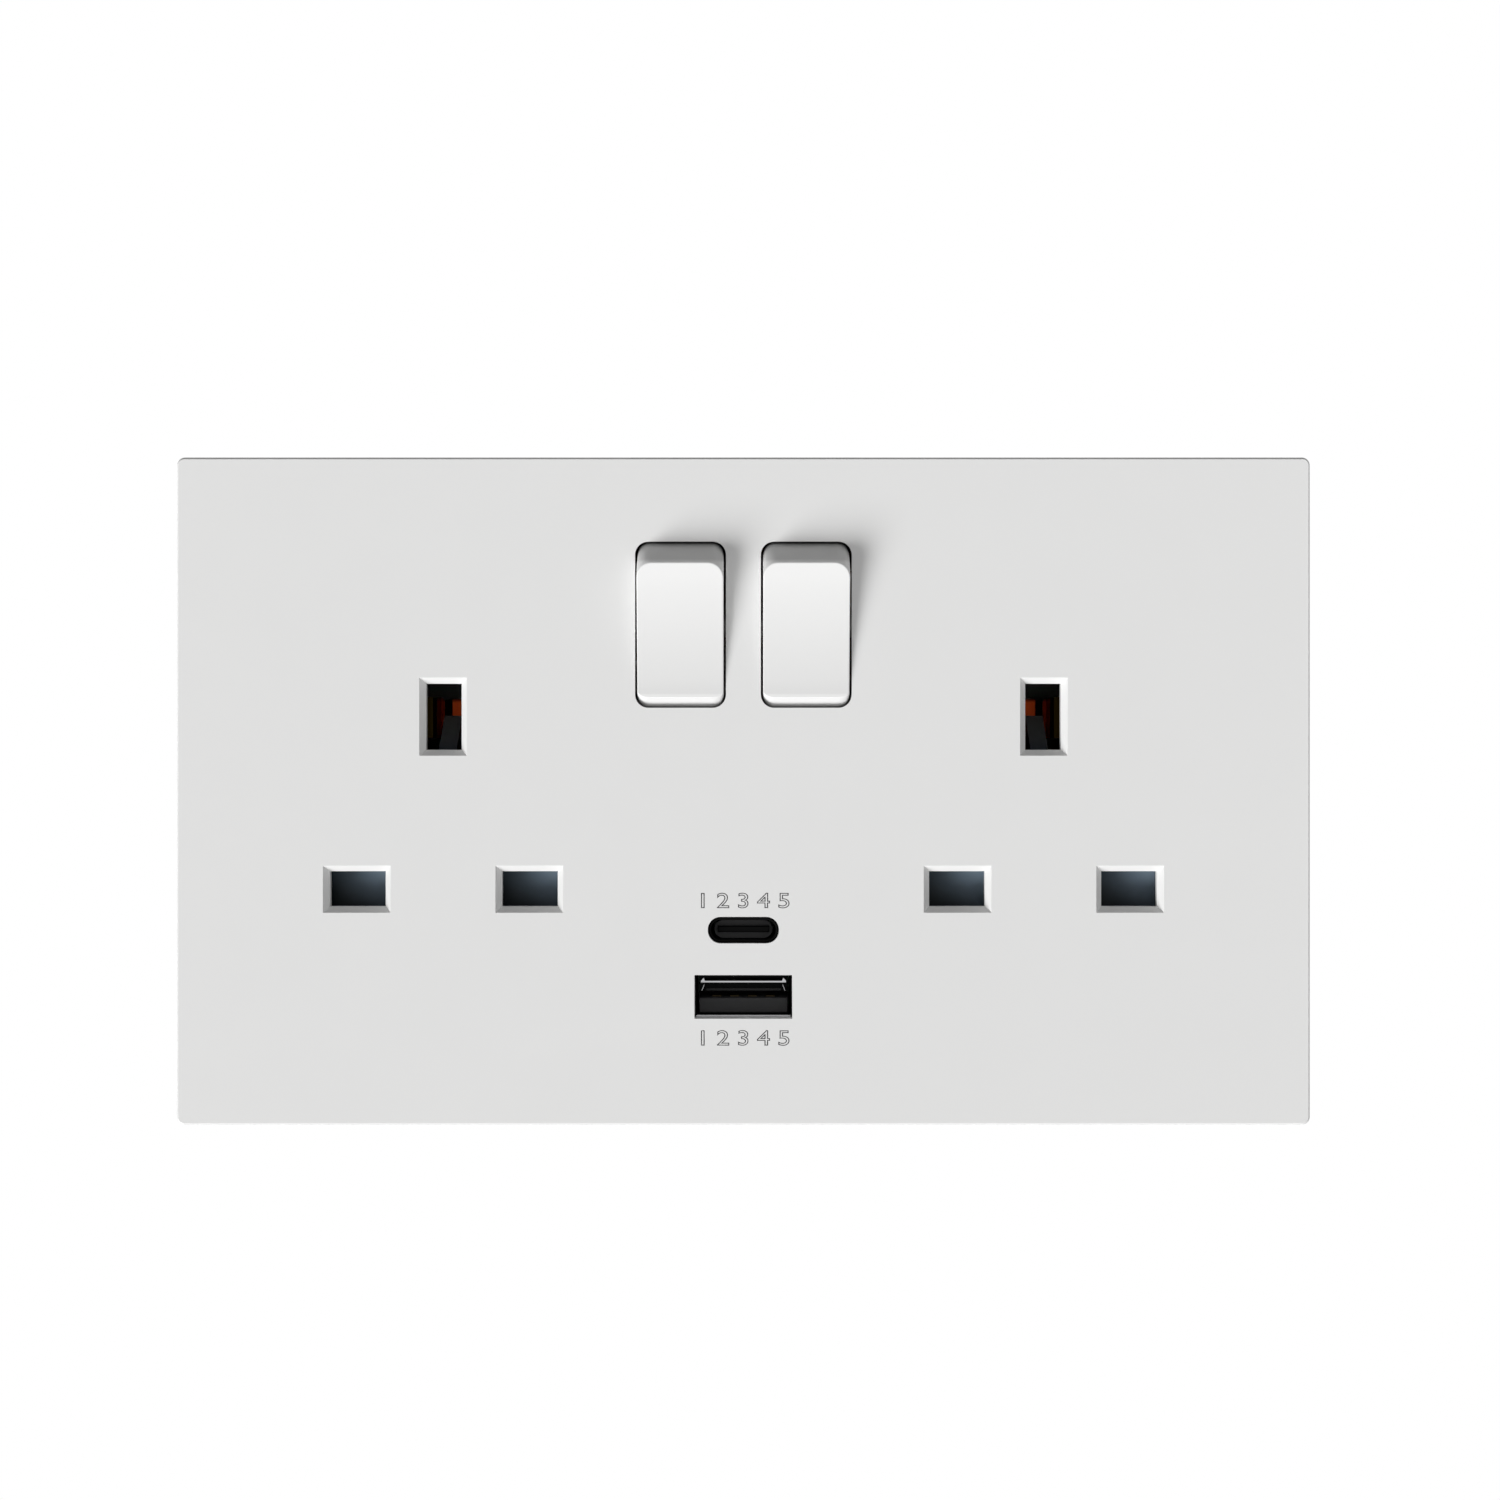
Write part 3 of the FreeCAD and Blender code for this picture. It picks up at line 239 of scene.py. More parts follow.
# %% [markdown]
# ## The plastics of the front
# The plate and the rockers are white mouldings, the shutters behind the slots are slate blue, and
# the wide port's tongue is grey. One colour for each would do where light reaches them. Light and
# shade are painted into the colours too: bands along the piece's own axes paint shade into the
# narrow gaps and recesses, and paint light and shade on the rockers and behind the slots. They
# need no extra piece and no seam, and they move with the piece.


# %% Plate and rockers
def plate_finish():
    """White with a soft gloss, with painted shade: the walls of the rocker openings are painted
    black.

    The dark part has no upper end, so it also takes in the middle of the rim's top, which ought to
    be white. It needs a fourth band that ends it between the openings and the rim.
    """
    finish = Finish("plate plastic", IOR=1.5)
    beside = 1 - finish.band(abs(finish.along("x")), 14.4 * MM, 14.6 * MM)
    above = finish.band(finish.along("z"), 10.0 * MM, 10.2 * MM)
    behind = finish.band(finish.along("y") - FRONT, 0.15 * MM, 0.45 * MM)
    white = finish.blend(finish.noise(CLOUD, 3), (0.784, 0.784, 0.779), (0.80, 0.80, 0.795))
    # Painted shade: where the three bands meet, on the walls of the rocker openings, the white is
    # painted black.
    finish.set(Base_Color=finish.blend(beside * above * behind, white, (0.03, 0.03, 0.03)))
    gloss(finish, 0.38)
    grain(finish, 0.0012 * MM)
    return finish.material


def rocker_finish():
    """White like the plate, with painted light: the face is painted lighter upwards, the bevel
    brighter as a painted highlight, and the top end darker as painted shade.
    """
    finish = Finish("rocker plastic", IOR=1.5)
    height = finish.along("z")
    # Painted light: the face is painted lighter upwards, the bevel painted bright as a highlight, and
    # the top end painted in shade.
    upper = finish.band(height + 0.6 * MM * finish.noise(3 * MM), 12.0 * MM, 30.0 * MM)
    face = finish.blend(upper, (0.725, 0.725, 0.72), (0.825, 0.825, 0.82))
    painted_bevel_highlight = finish.band(height, 12.4 * MM, 12.6 * MM)
    face = finish.blend(painted_bevel_highlight, (0.81, 0.81, 0.805), face)
    painted_top_shade = finish.band(height, 29.3 * MM, 29.7 * MM)
    finish.set(Base_Color=finish.blend(painted_top_shade, face, (0.62, 0.62, 0.615)))
    gloss(finish, 0.36)
    grain(finish, 0.0008 * MM)
    return finish.material


PLATE, ROCKER = plate_finish(), rocker_finish()
print("white", PLATE.name, ROCKER.name)

# %% Shutters and the wide port's tongue
OUTLET = 38.7 * MM
HALF_PITCH = 11.115 * MM
SLOT_LEVEL = -12.63 * MM


def shutter_finish(middle):
    """Slate blue plastic, with painted light: behind each slot it runs from painted shade at the
    lower left to a painted sheen at the upper right. On the ramp it is grey, darker towards the foot.
    """
    finish = Finish("shutter plastic", IOR=1.5, Specular_IOR_Level=0.15)
    height = finish.along("z")
    from_right_slot = finish.along("x") - (middle + HALF_PITCH)
    from_slot = from_right_slot.reckon("WRAP", from_right_slot, HALF_PITCH, -HALF_PITCH)
    # Painted light: behind each slot the colour runs from painted shade at the lower left to a
    # painted sheen at the upper right.
    slant = 0.55 * from_slot + 0.85 * (height - SLOT_LEVEL)
    painted_shade_to_sheen = finish.band(slant, -3.3 * MM, 4.6 * MM)
    behind_slot = finish.blend(painted_shade_to_sheen * painted_shade_to_sheen, (0.004, 0.007, 0.009), (0.41, 0.54, 0.68))
    up_ramp = finish.band(height, 5.4 * MM, 10.6 * MM)
    ramp = finish.blend(up_ramp, (0.055, 0.060, 0.075), (0.24, 0.24, 0.225))
    over_middle = finish.band(height, 0, 0.1 * MM)
    finish.set(Base_Color=finish.blend(over_middle, behind_slot, ramp))
    finish.set(Roughness=0.40 + 0.1 * finish.noise(2 * MM))
    grain(finish, 0.002 * MM)
    return finish.material


def tongue_finish():
    """Dark grey plastic, with painted shade: behind its upright rib it is painted black."""
    finish = Finish("port grey", IOR=1.5, Specular_IOR_Level=0.2)
    depth = finish.along("y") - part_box("usb_a_tongue")[0].y
    grey = finish.blend(finish.noise(CLOUD, 3), (0.029, 0.029, 0.030), (0.030, 0.030, 0.031))
    # Painted shade: the tongue is painted black behind its rib.
    behind = finish.band(depth, 2.9 * MM, 3.1 * MM)
    finish.set(Base_Color=finish.blend(behind, grey, (0.001, 0.001, 0.001)))
    gloss(finish, 0.38)
    grain(finish, 0.002 * MM)
    return finish.material


PORT_GREY = tongue_finish()
SHUTTER_LEFT, SHUTTER_RIGHT = shutter_finish(-OUTLET), shutter_finish(OUTLET)
print("grey and blue", PORT_GREY.name, SHUTTER_LEFT.name, SHUTTER_RIGHT.name)

# %% [markdown]
# ## Metals
# Clips, strips, terminals and springs are rolled or drawn metal, which shows streaks along its
# length and goes dull in clouds. A scratched picture would need a map of each folded strip. Noise
# that is stretched along one axis gives the streaks without one.


# %% Metals
STREAK_WIDTH = 0.12 * MM
STREAK_STRETCH = 0.04


def streaked(finish, axis):
    """Streaks that run along an axis."""
    stretch = [STREAK_STRETCH if name == axis else 1 for name in "xyz"]
    return finish.noise(STREAK_WIDTH, 3, finish.place(stretch), 0.6)


def metal(name, colour, rough, along="x", tarnish=0.0):
    """Rolled or drawn metal: streaks along one axis, and a little tarnish in clouds."""
    finish = Finish(name, Metallic=1.0)
    streaks = streaked(finish, along)
    dull = tuple(channel * 0.55 for channel in colour)
    bright = finish.blend(streaks * 0.25, colour, dull)
    worn = finish.band(finish.noise(2.5 * MM, 4), 0.55, 0.75) * tarnish
    finish.set(Base_Color=finish.blend(worn, bright, tuple(channel * 0.4 for channel in colour)))
    finish.set(Roughness=rough - 0.06 + 0.12 * streaks + 0.1 * worn)
    finish.set(Normal=finish.bump(streaks, 0.002 * MM))
    return finish.material


BRASS = metal("terminal brass", (0.72, 0.53, 0.25), 0.3, along="z", tarnish=0.5)
STRIP_BRASS = metal("neutral brass", (0.72, 0.55, 0.28), 0.34, tarnish=0.6)
# Painted shade: the copper is darkened, as it is seen only through gaps; its tarnish is its own.
STRIP_COPPER_DIMMED_AS_SHADE = metal("line copper dimmed as painted shade", (0.22, 0.09, 0.05), 0.5, tarnish=0.6)
STEEL = metal("zinc steel", (0.60, 0.60, 0.58), 0.34, along="y", tarnish=0.4)
SPRING = metal("spring steel", (0.50, 0.50, 0.51), 0.28, along="z")
PORT_STEEL = metal("port steel", (0.50, 0.50, 0.51), 0.3)
# Painted shade: the gold is darkened nearly to black, as the contacts lie deep in the ports.
GOLD_IN_PAINTED_SHADE = metal("contact gold in painted shade", (0.05, 0.038, 0.018), 0.5, along="y")


def earth_finish():
    """Reddened copper, with painted shade: dark above the slot and at the leaves' front edges, and
    black at the back beside them.
    """
    finish = Finish("earth copper", Metallic=1.0, Roughness=0.42)
    streaks = streaked(finish, "z")
    depth, height = finish.along("y"), finish.along("z")
    from_outlet = abs(finish.along("x")) - OUTLET
    red = finish.blend(streaks * 0.4, (0.85, 0.12, 0.022), (0.42, 0.055, 0.010))
    # Painted shade: nearly black above the slot.
    above_slot = finish.band(height, 11.8 * MM, 12.3 * MM)
    red = finish.blend(above_slot, red, (0.06, 0.01, 0.004))
    # Painted shade: black at the back beside the leaves.
    back = finish.band(depth, 12.5 * MM, 13.5 * MM)
    outer = finish.band(from_outlet, 1.35 * MM, 1.5 * MM)
    red = finish.blend(back * outer, red, (0.004, 0.002, 0.001))
    # Painted shade: dark at the leaves' front edges.
    front_edge = finish.band(depth, 1.7 * MM, 1.3 * MM)
    finish.set(Base_Color=finish.blend(front_edge, red, (0.035, 0.022, 0.004)))
    finish.set(Normal=finish.bump(streaks, 0.002 * MM))
    return finish.material


EARTH_COPPER = earth_finish()
METALS = (BRASS, STRIP_BRASS, STRIP_COPPER_DIMMED_AS_SHADE, STEEL, SPRING, PORT_STEEL, GOLD_IN_PAINTED_SHADE, EARTH_COPPER)
print("metals", [item.name for item in METALS])

# %% [markdown]
# ## Electronics
# The charger's board is green lacquer over copper tracks. On it stand a ground core with a taped
# winding, sleeved cans and moulded chips. Each could be drawn in detail, but they are seen only
# with the housing off, so each gets the one pattern that tells it: cells, laps, grains or a stripe.


# %% Electronics
def board_finish():
    """Green lacquer over copper tracks: the tracks show as slightly lighter, raised lines."""
    finish = Finish("board lacquer", IOR=1.5)
    cell = {"Vector": finish.place(), "Scale": 1 / (2.2 * MM)}
    edges = finish.node("ShaderNodeTexVoronoi", {"feature": "DISTANCE_TO_EDGE"}, cell)
    track = 1 - finish.band(edges, 0.10, 0.16)
    finish.set(Base_Color=finish.blend(track, (0.010, 0.085, 0.030), (0.030, 0.17, 0.055)))
    finish.set(Roughness=0.30 + 0.1 * finish.noise(3 * MM))
    finish.set(Normal=finish.bump(track, 0.03 * MM))
    return finish.material


def winding_finish():
    """Yellow tape, wound in laps."""
    finish = Finish("winding tape", IOR=1.5)
    saw = {"bands_direction": "Z", "wave_profile": "SAW"}
    values = {"Vector": finish.place(), "Scale": 120.0, "Distortion": 0.3}
    laps = finish.node("ShaderNodeTexWave", saw, values)
    finish.set(Base_Color=finish.blend(laps, (0.42, 0.27, 0.02), (0.66, 0.46, 0.05)))
    finish.set(Roughness=0.32 + 0.12 * finish.noise(1.5 * MM))
    finish.set(Normal=finish.bump(laps, 0.05 * MM))
    return finish.material


def ferrite_finish():
    """Ground ceramic magnet stone: nearly black, with a sparkle of grains."""
    finish = Finish("ferrite", IOR=1.6)
    grains = finish.noise(0.18 * MM, 3)
    finish.set(Base_Color=finish.blend(grains, (0.035, 0.034, 0.034), (0.085, 0.083, 0.08)))
    finish.set(Roughness=0.5 + 0.2 * grains, Normal=finish.bump(grains, 0.02 * MM))
    return finish.material


def sleeve_finish():
    """A dark shrunk sleeve, pale at one side."""
    finish = Finish("capacitor sleeve", IOR=1.5)
    stripe = finish.band(finish.along("x"), 12.2 * MM, 12.4 * MM)
    finish.set(Base_Color=finish.blend(stripe, (0.020, 0.024, 0.05), (0.42, 0.43, 0.45)))
    finish.set(Roughness=0.26 + 0.1 * finish.noise(2 * MM))
    return finish.material


BOARD, WINDING = board_finish(), winding_finish()
FERRITE, SLEEVE = ferrite_finish(), sleeve_finish()
print("electronics", [item.name for item in (BOARD, WINDING, FERRITE, SLEEVE)])

# %% [markdown]
# ## Which solid has which finish
# The inner parts could be modelled again too. They are seen through slots, or not at all, so their
# solids are good enough as they are, and only need the material in their slot.

# %% Dress the solids
SOLIDS = {
    "mounting_frame": FRAME,
    "line_terminal": BRASS,
    "neutral_terminal": BRASS,
    "earth_terminal_left": BRASS,
    "earth_terminal_right": BRASS,
    "plunger_left": PLUNGER,
    "plunger_right": PLUNGER,
    "moving_contact_left": STRIP_COPPER_DIMMED_AS_SHADE,
    "moving_contact_right": STRIP_COPPER_DIMMED_AS_SHADE,
    "shutter_left": SHUTTER_LEFT,
    "shutter_right": SHUTTER_RIGHT,
    "line_clip_left": STRIP_COPPER_DIMMED_AS_SHADE,
    "line_clip_right": STRIP_COPPER_DIMMED_AS_SHADE,
    "line_rail": STRIP_COPPER_DIMMED_AS_SHADE,
    "neutral_rail": STRIP_BRASS,
    "earth_rail": EARTH_COPPER,
    "usb_c_contacts": GOLD_IN_PAINTED_SHADE,
    "usb_a_contacts": GOLD_IN_PAINTED_SHADE,
    "charger_board": BOARD,
    "transformer_core": FERRITE,
    "transformer_winding": WINDING,
    "capacitors": SLEEVE,
    "control_chips": CHIP,
}
for node, finish in SOLIDS.items():
    NODES[node].data.materials.clear()
    NODES[node].data.materials.append(finish)
print("dressed", len(SOLIDS), "solids")

# %% [markdown]
# ## From mesh to piece
# Every new piece is built in a bmesh. One helper turns it into an object, marks edges sharper than
# thirty degrees, and hides the solids it stands for. Shading by angle could be left to a modifier,
# but marked edges stay in the mesh itself, and round parts shade smoothly between them.


# %% Finish a piece
CREASE, RIDGE, FLAT = math.radians(30), math.radians(20), math.radians(0.5)
TOUCH, NEAR = 0.001 * MM, 0.01 * MM


def piece(name, mesh, finish, body, *replaced):
    """An object made of a mesh, which rides on a body and stands for the solids replaced."""
    bmesh.ops.recalc_face_normals(mesh, faces=mesh.faces)
    for face in mesh.faces:
        face.smooth = True
    for edge in mesh.edges:
        edge.smooth = edge.calc_face_angle(0) < CREASE
    data = bpy.data.meshes.new(name)
    mesh.to_mesh(data)
    mesh.free()
    data.materials.append(finish)
    item = bpy.data.objects.new(name, data)
    bpy.context.collection.objects.link(item)
    large_first = item.modifiers.new("large faces first", "WEIGHTED_NORMAL")
    large_first.keep_sharp = True
    large_first.weight = 100
    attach(item, body)
    if replaced:
        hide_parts(*replaced)
    print(name, len(data.polygons), "faces")
    return item


def merged(node):
    """A copy of a solid's mesh with its loose triangles joined into large flat faces."""
    mesh = bmesh.new()
    mesh.from_mesh(NODES[node].data)
    bmesh.ops.remove_doubles(mesh, verts=mesh.verts, dist=TOUCH)
    bmesh.ops.dissolve_limit(
        mesh, angle_limit=FLAT, verts=mesh.verts, edges=mesh.edges, delimit={"NORMAL"}
    )
    return mesh


def is_ridge(edge):
    """True where two faces meet in an outward corner of more than twenty degrees."""
    return edge.is_manifold and edge.is_convex and edge.calc_face_angle(0) > RIDGE


def lies_before(edge, level):
    """True where the whole edge is in front of a level."""
    return all(v.co.y < level for v in edge.verts)


def depth_of(edge):
    """How far an edge runs from front to back."""
    return abs(edge.verts[0].co.y - edge.verts[1].co.y)


def edges_of(verts):
    """All edges that meet at some points."""
    return {edge for v in verts for edge in v.link_edges}


def ease(mesh, edges, radius, segments=3):
    """Rounds the edges by a small radius."""
    bmesh.ops.bevel(
        mesh,
        geom=list(edges),
        offset=radius,
        offset_type="OFFSET",
        segments=segments,
        profile=0.5,
        affect="EDGES",
        material=-1,
        clamp_overlap=True,
    )


# %% [markdown]
# ## The front plate
# The real plate is one moulding with crisp but not knife-sharp edges: each catches a thin line of
# light. A Bevel modifier would round them all. Here the outward edges of the openings alone are
# eased, by a few hundredths of a millimetre, as a good mould leaves them, because any more would
# make the slots look larger. The rim keeps its chamfer, which is only made finer.

# %% Front plate
FRONT_LAYER = 0.45 * MM
OPENINGS_WIDE, OPENINGS_HIGH = 60 * MM, 36 * MM
BEND_X, BEND_Z = 72 * MM, 42 * MM
TOP_LAYER = 0.05 * MM


def front_ridges(mesh, inside):
    """The outward edges at the plate's front: those of its openings, or those of its rim."""
    return [
        edge
        for edge in mesh.edges
        if is_ridge(edge)
        and lies_before(edge, FRONT + FRONT_LAYER)
        and all(
            (abs(v.co.x) < OPENINGS_WIDE and abs(v.co.z) < OPENINGS_HIGH) == inside
            for v in edge.verts
        )
    ]


def within(value, reach):
    """The value, kept between -reach and reach."""
    return max(min(value, reach), -reach)


def widen_front(mesh, across, up):
    """Moves the front edge of the rim outward, about the bends, which makes its chamfer finer."""
    rim = {v for edge in front_ridges(mesh, False) for v in edge.verts}
    for vert in rim:
        if vert.co.y < FRONT + TOP_LAYER:
            spot = Vector((vert.co.x, vert.co.z))
            middle = Vector((within(spot.x, BEND_X), within(spot.y, BEND_Z)))
            step = (spot - middle).normalized()
            vert.co += Vector((step.x * across, 0, step.y * up))


plate = merged("face_plate")
ease(plate, front_ridges(plate, True), 0.03 * MM, 2)
widen_front(plate, across=0.09 * MM, up=0.05 * MM)
piece("front_plate", plate, PLATE, "socket", "face_plate")

# %% [markdown]
# ## The rockers
# Each lever has a slightly hollow face with crisp sides and a broad bevel where the finger presses.
# Its two ends lie on arcs about the hinge, so that the gap in the plate stays the same as it tips.
# Cutting it out of larger shapes would leave a ragged mesh. Instead a block is cut in slices, which
# are then moved: back to the arc, in at the rolled edges and the bevel, and down in the hollow. It
# is modelled flat and then tilted.

# %% Rocker sizes
TILT = math.radians(11)
RISE, SKIRT, WALL = 6.41 * MM, 0.9 * MM, 1.3 * MM
HALF_WIDTH, HALF_FACE = 5.56 * MM, 9.17 * MM
REACH = math.hypot(RISE, HALF_FACE) - 0.05 * MM
CORNER, UPPER_CORNER, CORNER_DEPTH = 1.5 * MM, 2.0 * MM, 5 * MM
CHAMFER, CHAMFER_DEPTH = 0.85 * MM, 0.80 * MM
END_ROLL, SIDE_ROLL = 0.12 * MM, 0.16 * MM
DISH = 0.35 * MM
SLICES = (0.03, 0.08, 0.16, 0.3, 0.5, 0.8, 1.4, 2.4, 3.4, 4.4)
print("rocker reach", round(REACH / MM, 3), "mm")


# %% Blocks, rods and cuts
def block(mesh, low, high):
    """A box between two corners. Returns its vertices."""
    low, high = Vector(low), Vector(high)
    verts = bmesh.ops.create_cube(mesh, size=1.0)["verts"]
    bmesh.ops.scale(mesh, vec=high - low, verts=verts)
    bmesh.ops.translate(mesh, vec=(low + high) / 2, verts=verts)
    return verts


def rod(mesh, radius, start, end, axis="y", across=(0, 0), segments=40):
    """A cylinder along x or y from start to end. Returns its vertices."""
    made = bmesh.ops.create_cone(
        mesh, cap_ends=True, segments=segments, radius1=radius, radius2=radius, depth=end - start
    )["verts"]
    about = {"x": "Y", "y": "X"}[axis]
    bmesh.ops.rotate(mesh, verts=made, matrix=Matrix.Rotation(math.pi / 2, 3, about))
    middle = (start + end) / 2
    spot = {"x": (middle, *across), "y": (across[0], middle, across[1])}[axis]
    bmesh.ops.translate(mesh, vec=spot, verts=made)
    return made


def slice_at(mesh, spot, normal):
    """Cuts the whole mesh along a plane, and keeps both sides."""
    everything = mesh.verts[:] + mesh.edges[:] + mesh.faces[:]
    bmesh.ops.bisect_plane(mesh, geom=everything, plane_co=spot, plane_no=normal)


# %% The lever
def end_at(level):
    """How far the lever's end is from its middle, at a level in front of the hinge."""
    return math.sqrt(REACH**2 - level**2)


def rolled(depth, radius):
    """How far a rolled edge stands back, at a depth below the face."""
    return radius - math.sqrt(radius**2 - max(radius - depth, 0) ** 2)


def near_end(place, half):
    """0 along the straight part of a side, rising to 1 at the end of its rounded corner."""
    return min(max((abs(place) - half + CORNER) / CORNER, 0), 1)


def sliced_block():
    """The flat lever before it is shaped, cut where it will bend."""
    mesh = bmesh.new()
    block(mesh, (-HALF_WIDTH, -RISE, -HALF_FACE), (HALF_WIDTH, -SKIRT, HALF_FACE))
    ease(mesh, [edge for edge in mesh.edges if depth_of(edge) > MM], CORNER, 10)
    for step in range(-9, 10):
        slice_at(mesh, (0, 0, step * 0.1 * (HALF_FACE - CORNER)), (0, 0, 1))
    for depth in SLICES:
        slice_at(mesh, (0, depth * MM - RISE, 0), (0, 1, 0))
    return mesh


def shape_point(vert):
    """Moves one point of the block to the lever's arcs, bevel, rolled edges and hollow."""
    across, up, depth = vert.co.x, vert.co.z, vert.co.y + RISE
    side, end = near_end(across, HALF_WIDTH), near_end(up, HALF_FACE)
    chamfer = CHAMFER * max(1 - depth / CHAMFER_DEPTH, 0)
    outward = -end * (chamfer if up < 0 else rolled(depth, END_ROLL))
    if abs(up) > HALF_FACE - CORNER - NEAR:
        outward += end_at(RISE - depth) - HALF_FACE
    vert.co.z += outward if up > 0 else -outward
    if min(up - HALF_FACE, abs(across) - HALF_WIDTH) > -CORNER - NEAR:
        wider = (UPPER_CORNER - CORNER) * max(1 - depth / CORNER_DEPTH, 0)
        vert.co.x -= math.copysign(wider * (1 - side), across)
        vert.co.z -= wider * (1 - end)
    vert.co.x -= math.copysign(rolled(depth, SIDE_ROLL) * side, across)
    dish = DISH * max(1 - (up / HALF_FACE) ** 2, 0)
    vert.co.y += dish * max(1 - depth / (RISE - SKIRT), 0)


def lever():
    """The whole lever without its ears and hub, hollow from behind."""
    mesh = sliced_block()
    for vert in mesh.verts:
        shape_point(vert)
    back = [f for f in mesh.faces if f.calc_center_median().y > -SKIRT - NEAR]
    bmesh.ops.inset_region(mesh, faces=back, thickness=WALL, use_even_offset=True)
    floor = {v for f in back if f.calc_center_median().y > -SKIRT - NEAR for v in f.verts}
    bmesh.ops.translate(mesh, vec=(0, SKIRT + WALL - RISE, 0), verts=list(floor))
    return mesh


# %% Ears and hub
PIN, PIN_LENGTH = 1.5 * MM, 1.6 * MM
EAR_BACK, EAR_HALF = 2.3 * MM, 2.6 * MM
HUB, HUB_BACK, HUB_WALL, HUB_DEPTH = 2.7 * MM, 7.0 * MM, 1.0 * MM, 10.0 * MM


def grow(mesh, faces, vec):
    """Extrudes some faces along a vector."""
    grown = bmesh.ops.extrude_face_region(mesh, geom=faces)["geom"]
    moved = [item for item in grown if isinstance(item, bmesh.types.BMVert)]
    bmesh.ops.translate(mesh, vec=vec, verts=moved)


def side_ear(mesh, side):
    """The plate under one side of the lever, and the round pin that it turns on."""
    foot = end_at(SKIRT) - WALL
    corners = [(-SKIRT, -foot), (EAR_BACK, -EAR_HALF), (EAR_BACK, EAR_HALF), (-SKIRT, foot)]
    inside = side * (HALF_WIDTH - WALL)
    verts = [mesh.verts.new((inside, y, z)) for y, z in corners]
    grow(mesh, [mesh.faces.new(verts)], (side * WALL, 0, 0))
    start, end = sorted((side * HALF_WIDTH, side * (HALF_WIDTH + PIN_LENGTH)))
    rod(mesh, PIN, start, end, "x")


def hub(mesh):
    """The tube behind the face in which the plunger sits."""
    verts = rod(mesh, HUB, WALL - RISE, HUB_BACK)
    mouth = max((f for v in verts for f in v.link_faces), key=lambda f: f.calc_center_median().y)
    bmesh.ops.inset_region(mesh, faces=[mouth], thickness=HUB_WALL)
    bmesh.ops.translate(mesh, vec=(0, -HUB_DEPTH, 0), verts=mouth.verts[:])


# %% Both rockers
def at_switch(side):
    """Tilts and moves a part from the hinge's own frame to its place."""
    pivot = next(j for j in frame["joints"] if j["name"] == f"{side}_rocker")["pos_m"]
    return Matrix.Translation(pivot) @ Matrix.Rotation(TILT, 4, "X")


for side in ("left", "right"):
    mesh = lever()
    for direction in (-1, 1):
        side_ear(mesh, direction)
    hub(mesh)
    bmesh.ops.transform(mesh, matrix=at_switch(side), verts=mesh.verts)
    piece(f"rocker_lever_{side}", mesh, ROCKER, f"{side}_switch", f"rocker_{side}")

# %% [markdown]
# ## Coil springs
# A spring is a round wire wound about an axis. A curve with a round bevel could follow a worked-out
# helix. Spinning a small circle while it also moves along the axis winds it directly. The shutters'
# springs are as tall as their solids.


# %% Springs
TURN_STEPS = 28
SNAP_LENGTH, SNAP_FRONT = 8.2 * MM, -3.0 * MM


def coil(radius, wire, turns, length):
    """A coil that stands on the origin and rises along Z."""
    mesh = bmesh.new()
    ring = bmesh.ops.create_circle(mesh, segments=10, radius=wire / 2)["verts"]
    bmesh.ops.rotate(mesh, verts=ring, matrix=Matrix.Rotation(math.pi / 2, 3, "X"))
    bmesh.ops.translate(mesh, vec=(radius, 0, wire / 2), verts=ring)
    steps = round(turns * TURN_STEPS)
    rise = (0, 0, (length - wire) / steps)
    turn = {"axis": (0, 0, 1), "cent": (0, 0, 0), "angle": turns * math.tau}
    bmesh.ops.spin(mesh, geom=mesh.edges[:], dvec=rise, steps=steps, **turn)
    bmesh.ops.holes_fill(mesh, edges=mesh.edges[:], sides=12)
    return mesh


for side in ("left", "right"):
    low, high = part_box(f"shutter_spring_{side}")
    mesh = coil(radius=1.7 * MM, wire=0.5 * MM, turns=6.0, length=high.z - low.z)
    foot = Vector(((low.x + high.x) / 2, (low.y + high.y) / 2, low.z))
    bmesh.ops.translate(mesh, vec=foot, verts=mesh.verts)
    spring = piece(f"return_spring_{side}", mesh, SPRING, "socket", f"shutter_spring_{side}")
    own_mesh(spring)
    mesh = coil(radius=1.2 * MM, wire=0.45 * MM, turns=6.5, length=SNAP_LENGTH)
    lay = Matrix.Translation((0, SNAP_FRONT, 0)) @ Matrix.Rotation(-math.pi / 2, 4, "X")
    bmesh.ops.transform(mesh, matrix=at_switch(side) @ lay, verts=mesh.verts)
    piece(f"snap_spring_{side}", mesh, SPRING, f"{side}_switch", f"plunger_spring_{side}")

# %% [markdown]
# ## Screws
# The housing is held by four pan head screws and each terminal has a short clamping screw. A driver
# slot could be subtracted with a Boolean, which leaves loose splinters on such small heads. Slicing
# the flat end and sinking the slices in the middle keeps it clean.


